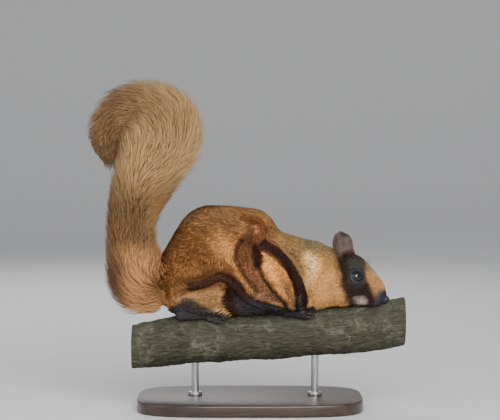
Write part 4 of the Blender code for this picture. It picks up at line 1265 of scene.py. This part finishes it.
def tuft_mesh(name, spines, sides, outs, widths, shades, patches, rings):
    """One closed mesh of many tufts.

    spines holds each tuft's points from root to tip, sides and outs the directions across it and away from
    the skin, widths its width at each ring, shades its colours from root to tip and patches its place on the
    unwrap.
    """
    count = len(spines)
    per = 3 * rings + 1
    points = np.zeros((count, per, 3), np.float32)
    tints = np.zeros((count, per, 3), np.float32)
    uvs = np.zeros((count, per, 2), np.float32)
    for ring in range(rings):
        for corner, (across, out) in enumerate(TUFT_RING):
            k = 3 * ring + corner
            half = widths[:, ring : ring + 1]
            points[:, k] = spines[:, ring] + sides * across * half + outs * out * half
            tints[:, k] = shades[:, ring]
            uvs[:, k, 0] = patches[:, 0] + across * PATCH
            lower = 0.12 if corner == 2 and ring == 0 else 0
            uvs[:, k, 1] = patches[:, 1] + PATCH * (ring / rings - lower - 0.4)
    points[:, -1] = spines[:, rings]
    tints[:, -1] = shades[:, rings]
    uvs[:, -1] = patches + (0, PATCH * 0.6)
    pattern = [(0, 1, 2)]
    for ring in range(rings - 1):
        a, b = 3 * ring, 3 * ring + 3
        for i in range(3):
            j = (i + 1) % 3
            pattern += [(a + j, a + i, b + i), (a + j, b + i, b + j)]
    top = 3 * rings - 3
    for i in range(3):
        pattern.append((top + (i + 1) % 3, top + i, 3 * rings))
    pattern = np.array(pattern)[:, ::-1]
    faces = (pattern[None] + np.arange(count)[:, None, None] * per).reshape(-1, 3)
    made = mesh_from_arrays(name, points.reshape(-1, 3), faces)
    paint_vertices(made, tints.reshape(-1, 3))
    layer = made.data.uv_layers.new(name="OFBake")
    layer.data.foreach_set("uv", uvs.reshape(-1, 2)[faces.ravel()].ravel())
    made.data.shade_smooth()
    return made


def sample_roots(piece, density_of, seed):
    """Roots spread evenly over the piece's faces: points in metres and normals."""
    mesh = piece.data
    mesh.calc_loop_triangles()
    corners = np.zeros(len(mesh.loop_triangles) * 3, np.int32)
    mesh.loop_triangles.foreach_get("vertices", corners)
    corners = corners.reshape(-1, 3)
    places, normals = vertices_of(piece), normals_of(piece)
    a, b, c = (places[corners[:, k]] for k in range(3))
    area = np.linalg.norm(np.cross(b - a, c - a), axis=1) / 2 / MM**2
    total = np.cumsum(area * density_of(in_mm((a + b + c) / 3), normals[corners[:, 0]]))
    draw = np.random.default_rng(seed)
    count = int(total[-1])
    at = (np.arange(count) + draw.random(count)) / count * total[-1]
    k = np.minimum(np.searchsorted(total, at), len(total) - 1)
    u, v = draw.random(count), draw.random(count)
    over = u + v > 1
    u[over], v[over] = 1 - u[over], 1 - v[over]
    w = 1 - u - v
    shares = np.stack([w, u, v], 1)[:, :, None]
    return (places[corners[k]] * shares).sum(1), unit((normals[corners[k]] * shares).sum(1))


def clumped(tips, roots, cell, pull, seed):
    """Tips drawn towards the middle of those whose roots share a warped cell, so that the coat has locks."""
    warped = in_mm(roots)
    warped = warped + np.stack([waves(warped, 17, seed + k, 2) for k in range(3)], 1) * 2.2
    _, group = np.unique(np.floor(warped / cell).astype(np.int64), axis=0, return_inverse=True)
    group = group.ravel()
    size = np.bincount(group).astype(float)
    middle = np.stack([np.bincount(group, tips[:, k]) / size for k in range(3)], 1)
    return tips + (middle[group] - tips) * pull


def short_density(points_mm, normals):
    """Roots to the square millimetre of the short coat: none in the eyes' sockets or on the nose pad."""
    _, _, _, density, _, tail = coat_plan(points_mm)
    face = to_head(points_mm)
    socket = ramp(eye_distance(face), 8.2, 9.6)
    pad = ramp(face[:, 0], 49.5, 48.0)
    under = 1 - 0.75 * ramp(-normals[:, 2], 0.6, 0.95)
    return density * (1 - 0.85 * tail) * socket * pad * under


lookup = unwrap_lookup(skin, 14000)
skin_tree = faces_tree(skin)
roots, ups = sample_roots(skin, short_density, COAT_SEED)
roots_mm = in_mm(roots)
depth, length, width, _, lie, _ = coat_plan(roots_mm)
draw = np.random.default_rng(COAT_SEED + 1)
count = len(roots)
lie = unit(lie - ups * (lie * ups).sum(1)[:, None])
across = np.cross(ups, lie)
swing = 0.16 * waves(roots_mm, 26, 31, 2) + 0.13 * draw.normal(size=count)
lie = lie * np.cos(swing)[:, None] + across * np.sin(swing)[:, None]
length *= (0.82 + 0.36 * draw.random(count)) * MM
rise = depth * (0.76 + 0.32 * draw.random(count)) * MM


def over_skin(points, heights):
    """The points put back over the skin at their heights, with the skin's outward direction there."""
    landed = np.zeros_like(points)
    for k, point in enumerate(points):
        near, normal, _, _ = skin_tree.find_nearest(Vector(point))
        landed[k] = near + normal * heights[k]
    return landed


middles = over_skin(roots + lie * (length * 0.5)[:, None], rise * 0.62)
tips = over_skin(roots + lie * length[:, None], rise)
tips = clumped(tips, roots, CLUMP, CLUMP_PULL, 41)
spines = np.stack([roots - ups * 0.4 * MM, middles, tips], 1)
sides = unit(np.cross(ups, tips - roots))
widths = np.stack([width * 0.8, width * (0.85 + 0.3 * draw.random(count))], 1) * MM
root_colour = coat_colour(roots_mm)
tip_colour = coat_colour(in_mm(middles))
tone = (1 + 0.07 * draw.normal(size=count) + 0.07 * waves(roots_mm, 30, 51, 2)).clip(0.6, 1.4)[:, None]
warm = np.stack([np.ones(count), 1 + 0.04 * draw.normal(size=count), 1 + 0.08 * draw.normal(size=count)], 1)
tip_colour = tip_colour * warm
ring_colours = (root_colour, tip_colour, tip_colour)
shades = np.stack([c * s for c, s in zip(ring_colours, TUFT_SHADES)], 1) * tone[:, None]
patches = lookup(roots)

face = to_head(roots_mm)
label = np.where(face[:, 0] > -34, 0, 1 + (roots_mm[:, 0] <= 20) + (roots_mm[:, 0] <= -40))
label = label * 2 + (roots_mm[:, 1] > 0)
COAT_PARTS = ("head", "fore", "middle", "hind")
names = ["coat_" + part + "_" + side for part in COAT_PARTS for side in ("right", "left")]
for k, name in enumerate(names):
    chosen = np.flatnonzero(label == k)
    if len(chosen) * TUFT_TRIANGLES > COAT_TRIANGLES:
        chosen = draw.permutation(chosen)[: COAT_TRIANGLES // TUFT_TRIANGLES]
    parts = [part[chosen] for part in (spines, sides, ups, widths, shades, patches)]
    finish_piece(tuft_mesh(name, *parts, 2), name, fur, "orange_fur")


# Tail coat
# The brush: long loose hair that stands out all round the core and lies towards the tip, thick and
# soft-ended, brown, with painted shade on the rear side that is turned from the light.

# Share of a hair's length, and how far out it is there as a share of the coat's reach
HAIR_ROWS = ((0.0, 0.30), (0.35, 0.62), (0.70, 0.86), (1.0, 1.0))
HAIR_SHADES = (0.62, 0.88, 1.0, 1.08)
TAIL_TUFTS = 30000
TAIL_SIDE = (0.15, 1.0, 0.1)
GOLDEN_TURN = 2.39996


def tail_hair(count, seed):
    """Spines, directions, widths, colours and unwrap places of the tail's long tufts."""
    draw = np.random.default_rng(seed)
    length = np.linalg.norm(np.diff(tail_rows[:, :3], axis=0), axis=1)
    run = np.concatenate([[0], np.cumsum(length)]) / length.sum()
    share = (np.arange(count) + draw.random(count)) / count
    share = 0.015 + 0.975 * share
    turn = (np.arange(count) * GOLDEN_TURN + 0.5 * draw.random(count)) % (2 * np.pi)

    def at(where):
        where = np.clip(where, 0, 1)
        return np.stack([np.interp(where, run, tail_rows[:, k]) for k in range(4)], 1)

    def axes(where):
        ahead = unit(at(where + 0.012)[:, :3] - at(where - 0.012)[:, :3])
        side = unit(np.cross(ahead, TAIL_SIDE))
        return ahead, side, np.cross(ahead, side)

    layer = draw.random(count) ** 0.8
    reach_share = 0.62 + 0.38 * layer
    hair = (32 + 14 * draw.random(count)) * (0.75 + 0.25 * layer)
    tail_length = length.sum()
    spines = []
    turn_drift = 0.18 * draw.normal(size=count) + 0.25 * np.sin(share * 23 + 2.2 * turn)
    core = at(share)[:, 3] * TAIL_BONE * (1 - TAIL_TAPER * share)
    core = core * np.sqrt(np.clip((1 - share) / TAIL_TIP_ROUND, 0.05, 1)) - 0.8
    for s, reach in HAIR_ROWS:
        where = share + hair * s * 0.86 / tail_length
        past = np.clip(where - 1, 0, 1)
        row = at(where)
        ahead, side, top = axes(np.minimum(where, 0.999))
        out = core + (row[:, 3] * reach_share - core) * (reach - 0.30) / 0.70
        out *= np.sqrt(np.clip(1 - past * tail_length / 26, 0.03, 1))
        round_way = turn + turn_drift * s
        point = row[:, :3] + ahead * (past * tail_length)[:, None]
        away = side * np.cos(round_way)[:, None] + top * np.sin(round_way)[:, None]
        point = point + out[:, None] * away
        spines.append(in_metres(point))
    spines = np.stack(spines, 1)
    spines[:, 3] = clumped(spines[:, 3], spines[:, 2], 7.0, 0.28, 61)
    ahead, side, top = axes(share)
    outs = side * np.cos(turn)[:, None] + top * np.sin(turn)[:, None]
    sides = unit(np.cross(outs, spines[:, 3] - spines[:, 0]))
    width = (1.0 + 0.7 * draw.random(count)) * (0.75 + 0.25 * ramp(share, 0.06, 0.2)) * MM
    widths = np.stack([width * 0.8, width, width * 0.7], 1)
    tone = 1 + 0.07 * draw.normal(size=count) + 0.10 * waves(in_mm(spines[:, 1]), 40, 71, 2)
    tone = tone.clip(0.6, 1.4)[:, None]
    shades = np.stack([coat_colour(in_mm(spines[:, k])) * f for k, f in enumerate(HAIR_SHADES)], 1)
    return spines, sides, outs, widths, shades * tone[:, None], lookup(spines[:, 0]), share


spines, sides, outs, widths, shades, patches, share = tail_hair(TAIL_TUFTS, 17)
for name, low, high in (("base", 0, 0.34), ("middle", 0.34, 0.67), ("tip", 0.67, 1.01)):
    name = "coat_tail_" + name
    chosen = np.flatnonzero((share >= low) & (share < high))
    parts = [part[chosen] for part in (spines, sides, outs, widths, shades, patches)]
    finish_piece(tuft_mesh(name, *parts, 3), name, fur, "tail_fur")


# Ears
# Thin upright cups of grey-brown skin with a rolled rim, a fold inside and a dusting of down. Each grows
# from the back corner of the crown; the far one is laid a little further back.

EAR_AT = np.array((-10, 19, 23.0))
EAR_AXIS = {"right": (-22, 8, 24), "left": (-26, 12, 20)}
EAR_MOUTH = (0.62, 0.78, 0.05)
EAR_HEIGHT = 37
EAR_HALF_WIDTH = 12
EAR_GRID = (34, 29)
# The down's width and its colour above and at the ear's foot
DOWN_WIDTH = 0.42 * MM
DOWN_LIGHT = colour(112, 90, 78)
DOWN_DARK = colour(58, 42, 34)

ear_skin = Look("ear_skin", 0.7)
at = ear_skin.place()
blotch = ear_skin.noise(at, 150, 4)
shade = ear_skin.mix(blotch.between(0.3, 0.7), (0.062, 0.040, 0.034), (0.130, 0.090, 0.076))
veins = ear_skin.noise(ear_skin.place((1, 1, 0.4)), 95, 3, 0.5, 1.5).between(0.52, 0.58)
ear_skin.two_tone(veins * 0.25, shade, (0.11, 0.055, 0.046))
ear_skin.set("Roughness", 0.55 + blotch * 0.25)
ear_skin.set("Specular IOR Level", 0.3)
ear_skin.bump(ear_skin.noise(at, 1400, 3), 0.35, 0.0004)


def ear_grid(side, inside):
    """The ear's outer or inner face as rows of points in the head's own frame, mirrored on the right."""
    axis = unit(np.array(EAR_AXIS[side], float))
    mouth = np.array(EAR_MOUTH)
    mouth = unit(mouth - axis * (mouth @ axis))
    across = np.cross(axis, mouth)
    p, q = np.linspace(0, 1, EAR_GRID[0]) ** 0.85, np.linspace(-1, 1, EAR_GRID[1])
    p, q = np.meshgrid(p, q, indexing="ij")
    flare = (0.62 + 0.92 * p - 0.15 * p * p) * np.sqrt(np.maximum(1 - p**3.2, 0.05))
    spread = np.radians(100 - 42 * p)
    radius = EAR_HALF_WIDTH * flare / np.sin(np.minimum(spread, np.pi / 2))
    wall = 1.5 * (1 - 0.45 * p) * np.sqrt(np.clip(1 - np.abs(q) ** 6, 0.0, 1)) * inside
    turn = spread * q
    r = np.maximum(radius - wall, radius * 0.35)
    if inside:
        r = r - 0.5 * np.exp(-(((q - 0.35) / 0.14) ** 2)) * np.sin(np.pi * np.clip(p * 1.3, 0, 1))
        r = r - 0.4 * np.exp(-(((q + 0.45) / 0.12) ** 2)) * np.sin(np.pi * np.clip(p * 1.5, 0, 1))
    r = r - 0.5 * (1 - inside) * np.clip(np.abs(q) - 0.8, 0, 1)
    height = EAR_HEIGHT * p * (1 - 0.10 * q * q * p)
    point = EAR_AT + axis * height[..., None] + across * (r * np.sin(turn))[..., None]
    point = point - mouth * (r * np.cos(turn) - np.cos(spread) * radius)[..., None]
    point[..., 1] *= 1 if side == "left" else -1
    return point


def turn_faces_out(piece):
    """Merges doubled points and turns all faces of a closed piece outwards."""
    work = bmesh.new()
    work.from_mesh(piece.data)
    bmesh.ops.remove_doubles(work, verts=work.verts, dist=1e-6)
    bmesh.ops.recalc_face_normals(work, faces=work.faces)
    if work.calc_volume(signed=True) < 0:
        bmesh.ops.reverse_faces(work, faces=work.faces)
    work.to_mesh(piece.data)
    work.free()


for side in ("right", "left"):
    outer, inner = ear_grid(side, 0), ear_grid(side, 1)
    rows, columns = EAR_GRID
    points = np.concatenate([outer.reshape(-1, 3), inner.reshape(-1, 3)])
    faces = []
    for i in range(rows - 1):
        for j in range(columns - 1):
            a = i * columns + j
            quad = (a, a + 1, a + columns + 1, a + columns)
            faces.append(quad)
            faces.append(tuple(reversed([k + rows * columns for k in quad])))
    rim = [i * columns for i in range(rows)] + [(rows - 1) * columns + j for j in range(1, columns)]
    rim += [i * columns + columns - 1 for i in range(rows - 2, -1, -1)] + list(range(columns - 2, 0, -1))
    for a, b in zip(rim, rim[1:] + rim[:1]):
        faces.append((a, b, b + rows * columns, a + rows * columns))
    ear = mesh_from_arrays("ear", from_head(points), np.array(faces))
    turn_faces_out(ear)
    apply_modifier(ear, "SMOOTH", factor=0.5, iterations=6)
    apply_modifier(ear, "SUBSURF", levels=1, render_levels=1)
    ear.data.shade_smooth()
    finish_piece(ear, "ear_" + side + "_skin", ear_skin, "ear_skin", "ear_" + side)

    sign = 1 if side == "left" else -1
    tip_way = unit((np.array(EAR_AXIS[side], float) * (1, sign, 1)) @ HEAD_AXES)
    mouth_way = (np.array(EAR_MOUTH) * (1, sign, 1)) @ HEAD_AXES
    root_mm = in_mm(from_head([EAR_AT * (1, sign, 1)]))

    def down_density(points, normals):
        low_share = ramp((points - root_mm) @ tip_way / EAR_HEIGHT, 0.32, 0.18)
        return 1.5 * np.maximum(ramp(normals @ mouth_way, 0.45, 0.15), low_share)

    roots, ups = sample_roots(ear, down_density, 91)
    count = len(roots)
    draw = np.random.default_rng(92)
    share = (in_mm(roots) - root_mm) @ tip_way / EAR_HEIGHT
    lie = tip_way + 0.25 * draw.normal(size=(count, 3))
    lie = unit(lie - ups * (lie * ups).sum(1)[:, None])
    length = (2.6 + 3.4 * ramp(share, 0.35, 0.0) + 0.9 * draw.random(count)) * MM
    tips = roots + (lie * 0.93 + ups * 0.36) * length[:, None]
    middles = roots + (lie * 0.5 + ups * 0.26) * length[:, None]
    spines = np.stack([roots - ups * 0.2 * MM, middles, tips], 1)
    sides = np.cross(ups, lie)
    widths = np.tile([[DOWN_WIDTH, 0.86 * DOWN_WIDTH]], (count, 1))
    tone = DOWN_LIGHT + (DOWN_DARK - DOWN_LIGHT) * ramp(share, 0.30, 0.05)[:, None]
    tone = tone * (1 + 0.14 * draw.normal(size=(count, 1))).clip(0.5, 1.5)
    shades = np.stack([tone * 0.7, tone, tone * 1.2], 1)
    down = tuft_mesh("down", spines, sides, ups, widths, shades, lookup(roots), 2)
    finish_piece(down, "ear_" + side + "_down", fur, "dark_fur")


# Eyes
# Large dark glass-like globes with almost no white, set in naked dark lids that meet in a small tear
# corner.

# The lids' opening as seen from the eye's middle, and their rows of points round it and round their section
LID_LONG, LID_HIGH = math.radians(63), math.radians(56)
LID_ROWS, LID_SIDES = 96, 12
CORNEA = 0.05

eye_look = Look("eye", 0.06)
from_pupil = eye_look.node("Attribute", {"attribute_name": "Look"}, None, "Vector")
from_pupil = eye_look.node("VectorMath", {"operation": "LENGTH"}, {0: from_pupil}, "Value")
eye_look.two_tone(from_pupil.between(0.42, 0.62), (0.0015, 0.0015, 0.002), (0.007, 0.004, 0.003))
eye_look.set("Coat Weight", 0.6)
eye_look.set("Coat Roughness", 0.09)
eye_look.set("Specular IOR Level", 0.3)

lid_look = Look("lids", 0.7)
lid_look.set("Specular IOR Level", 0.35)
lid_look.two_tone(lid_look.noise(lid_look.place(), 900, 3), (0.022, 0.022, 0.026), (0.062, 0.062, 0.070))
lid_look.bump(lid_look.noise(lid_look.place(), 2600, 3), 0.4, 0.0003)

for side, sign in (("right", -1), ("left", 1)):
    mirror = np.array((1, sign, 1))
    centre = Vector(from_head([EYE_AT * mirror])[0])
    bpy.ops.object.select_all(action="DESELECT")
    bpy.ops.mesh.primitive_uv_sphere_add(segments=64, ring_count=40, radius=EYE_RADIUS * MM, location=centre)
    eye = bpy.context.object
    rest_at_origin(eye)
    gaze = (EYE_LOOK * mirror) @ HEAD_AXES
    places = vertices_of(eye) - np.array(centre)
    off = 1 - unit(places) @ gaze
    places *= (1 + CORNEA * np.exp(-((off / 0.16) ** 2)))[:, None]
    move_vertices(eye, places + np.array(centre))
    layer = eye.data.attributes.new("Look", "FLOAT_VECTOR", "POINT")
    angle = np.arccos(np.clip(1 - off, -1, 1))
    values = np.zeros((len(angle), 3), np.float32)
    values[:, 0] = angle
    layer.data.foreach_set("vector", values.ravel())
    eye.data.shade_smooth()
    finish_piece(eye, "eyeball_" + side, eye_look, "eye", "eye_" + side)

    long_way = np.array((1, 0, -0.2))
    long_way = unit(long_way - EYE_LOOK * (long_way @ EYE_LOOK))
    high_way = np.cross(EYE_LOOK, long_way)
    rings = []
    section = np.linspace(0, 2 * np.pi, LID_SIDES, endpoint=False)
    section = np.cos(section)[:, None] * 0.8, np.sin(section)[:, None] * 1.3
    for turn in np.linspace(0, 2 * np.pi, LID_ROWS, endpoint=False):
        c, s = math.cos(turn), math.sin(turn)
        opening = LID_LONG * c * c + LID_HIGH * s * s + math.radians(7) * max(0, abs(c) ** 14)
        rim = long_way * c + high_way * s
        toward = EYE_LOOK * math.cos(opening) + rim * math.sin(opening)
        away = rim * math.cos(opening) - EYE_LOOK * math.sin(opening)
        middle = EYE_AT + toward * (EYE_RADIUS + 0.35)
        thick = 0.85 + 0.2 * s
        rings.append(middle + thick * (section[0] * toward + section[1] * away))
    points = np.concatenate(rings)
    faces = []
    for i in range(LID_ROWS):
        for j in range(LID_SIDES):
            a, b, m = i * LID_SIDES, (i + 1) % LID_ROWS * LID_SIDES, (j + 1) % LID_SIDES
            faces.append((a + j, b + j, b + m, a + m))
    points[:, 1] *= sign
    lids = mesh_from_arrays("lids", from_head(points), np.array(faces))
    turn_faces_out(lids)
    lids.data.shade_smooth()
    finish_piece(lids, "lids_" + side, lid_look, "dark_fur")


# Nose
# A small naked pad at the end of the muzzle, blue-black and finely pebbled, with a groove down its middle
# and a comma-shaped nostril on each side.

# In the head's own frame, in millimetres: the pad's middle and half sizes, a nostril and the slit behind it
NOSE_AT = np.array((48.4, 0, -1.2))
NOSE_HALF = np.array((5.4, 7.0, 6.4))
NOSTRIL = np.array((53.0, 3.9, -2.4))
SLIT = NOSTRIL + (-1.2, 1.7, 0.9)

nose_look = Look("nose", 0.46)
pebble = nose_look.node("TexVoronoi", None, {"Vector": nose_look.place(), "Scale": 1700})
nose_look.two_tone(nose_look.noise(nose_look.place(), 500, 3), (0.007, 0.007, 0.011), (0.020, 0.020, 0.030))
nose_look.set("Roughness", 0.42 + pebble * 0.25)
nose_look.bump(pebble, 0.35, 0.0003)

bpy.ops.object.select_all(action="DESELECT")
bpy.ops.mesh.primitive_uv_sphere_add(segments=72, ring_count=56, radius=1)
nose = bpy.context.object
nose.rotation_euler = (0, math.pi / 2, 0)
bpy.context.view_layer.update()
rest_at_origin(nose)
ball = vertices_of(nose)
places = NOSE_AT + np.sign(ball) * np.abs(ball) ** 0.78 * NOSE_HALF
places[:, 1] *= 1 - 0.36 * ramp(places[:, 2], -1.5, -7.5)
places[:, 0] -= 1.6 * ramp(places[:, 2], -3.0, -7.6)
groove = np.exp(-((places[:, 1] / 0.55) ** 2)) * ramp(ball[:, 0], 0.1, 0.6) * ramp(places[:, 2], 2.6, 0.0)
places[:, 0] -= 0.9 * groove
for sign in (-1, 1):
    gap = (places - NOSTRIL * (1, sign, 1)) / (3.0, 1.25, 1.0)
    pit = np.exp(-((gap**2).sum(1) ** 1.5))
    slit_gap = (places - SLIT * (1, sign, 1)) / (2.6, 1.4, 0.6)
    pit = np.maximum(pit, 0.9 * np.exp(-((slit_gap**2).sum(1) ** 1.5)))
    places -= pit[:, None] * np.array((2.3, 0.9 * sign, 0.2))
move_vertices(nose, from_head(places))
nose.data.update()
nose.data.shade_smooth()
finish_piece(nose, "nose", nose_look, "dark_fur")


# Claws
# Curved claws of dark horn, slim and sharp, one at the end of each toe, hooked into the bark.

# Along the toe from its end, outwards, up, and radius, in millimetres
CLAW_ROWS = (
    (-2.2, 0, 0.5, 1.55),
    (1.2, 0.2, 1.3, 1.5),
    (4.2, 0.6, 0.9, 1.05),
    (6.4, 1.0, -0.8, 0.6),
    (7.6, 1.2, -2.8, 0.12),
)

horn = Look("horn", 0.6)
horn.set("Specular IOR Level", 0.25)
horn.two_tone(horn.noise(horn.place((300, 900, 900)), 1, 3), (0.010, 0.008, 0.007), (0.042, 0.032, 0.026))
horn.bump(horn.noise(horn.place((200, 1500, 1500)), 1, 2), 0.2, 0.0002)

for name, foot in (("fore", HAND), ("hind", FOOT)):
    for side, sign in (("right", 1), ("left", -1)):
        meshes = []
        for keys in paw_rows(foot)[1]:
            x, y, up, _ = keys[-1]
            rows = [(x + a, (y - b) * sign, up + c, r) for a, b, c, r in CLAW_ROWS]
            rows = smooth_run(rows, np.linspace(0, 1, 16))
            points, faces = tube(in_metres(rows[:, :3]), np.maximum(rows[:, 3], 0.06) * MM, 12, 1.15)
            meshes.append(mesh_from_arrays("claw", points, faces))
        claws = join_pieces(meshes)
        claws.data.shade_smooth()
        finish_piece(claws, "claws_" + name + "_" + side, horn, "dark_fur")


# Whiskers
# Fine black bristles in rows on each whisker pad, a few over each eye and on the cheek, thin and gently
# swept back.

bristle = Look("bristle", 0.4)
bristle.two_tone(bristle.noise(bristle.place(), 300, 2), (0.010, 0.008, 0.008), (0.035, 0.028, 0.024))

# Where a whisker bends back and down over its length
WHISKER_SAG = np.array((-0.30, 0, -0.10))
WHISKER_RADII = np.linspace(0.21, 0.05, 12) * MM

draw = np.random.default_rng(29)
meshes = []
for sign in (-1, 1):
    starts = []
    for row in range(3):
        for k in range(4):
            starts.append((44 - 4.2 * k, 9.2 + 1.6 * k, -2.6 - 2.1 * row - 0.4 * k, 30 + 5 * k))
    starts += [(14, 19, 21, 24), (11, 20, 22, 20), (16, 22, -16, 22)]
    for along_muzzle, left, up, reach in starts:
        way = np.array((0.35 + 0.12 * draw.normal(), 1.0, -0.12 + 0.22 * draw.normal()))
        if up > 10:
            way = np.array((0.1, 0.6, 0.8))
        s = np.linspace(0, 1, len(WHISKER_RADII))[:, None]
        line = (along_muzzle, left - 1.5, up) + (unit(way) * s + WHISKER_SAG * s**2) * reach
        line[:, 1] *= sign
        points, faces = tube(from_head(line), WHISKER_RADII, 5)
        meshes.append(mesh_from_arrays("whisker", points, faces))
whiskers = join_pieces(meshes)
whiskers.data.shade_smooth()
finish_piece(whiskers, "whiskers", bristle, "dark_fur")


# Floor and lights
# A plain pale paper sweep, flat under the model and curved up behind it, with soft studio light; neither
# is part of the model.

SWEEP_SIZE = 12
SWEEP_START = 2.4
SWEEP_RADIUS = 1.4
WORLD_LIGHT = 0.45

bpy.ops.object.select_all(action="DESELECT")
bpy.ops.mesh.primitive_grid_add(
    x_subdivisions=1, y_subdivisions=96, size=SWEEP_SIZE, location=(0, 0, -0.0005)
)
floor = bpy.context.object
rest_at_origin(floor)
floor.name = "floor"
for vert in floor.data.vertices:
    past = max(0, vert.co.y - SWEEP_START)
    bend = min(past / SWEEP_RADIUS, math.pi / 2)
    if past:
        vert.co.y = SWEEP_START + SWEEP_RADIUS * math.sin(bend)
        vert.co.z += SWEEP_RADIUS * (1 - math.cos(bend)) + max(0, past - SWEEP_RADIUS * math.pi / 2)
floor.data.shade_smooth()
paper = Look("paper", 0.9)
paper.set("Base Color", (0.62, 0.62, 0.61))
floor.data.materials.append(paper.material)

world = bpy.data.worlds.new("studio")
bpy.context.scene.world = world
world.use_nodes = True
sky = world.node_tree.nodes["Background"].inputs
sky["Color"].default_value = (0.93, 0.95, 1.0, 1)
sky["Strength"].default_value = WORLD_LIGHT


def soft_light(name, place, aim, size, power):
    bpy.ops.object.light_add(type="AREA", location=place)
    lamp = bpy.context.object
    lamp.name = name
    lamp.data.shape = "RECTANGLE"
    lamp.data.size, lamp.data.size_y = size
    lamp.data.energy = power
    lamp.rotation_euler = (Vector(aim) - Vector(place)).to_track_quat("-Z", "Y").to_euler()
    return lamp


soft_light("key", (0.35, -1.9, 0.95), (0.02, 0, 0.22), (1.7, 1.0), 54)
soft_light("catch", (0.75, -1.6, 1.75), (0.1, 0, 0.2), (1.0, 0.6), 18)
soft_light("fill", (-1.7, -1.0, 0.9), (0, 0, 0.2), (1.2, 1.2), 12)
soft_light("rim", (-0.4, 1.7, 1.4), (0, 0, 0.25), (1.0, 1.0), 20)
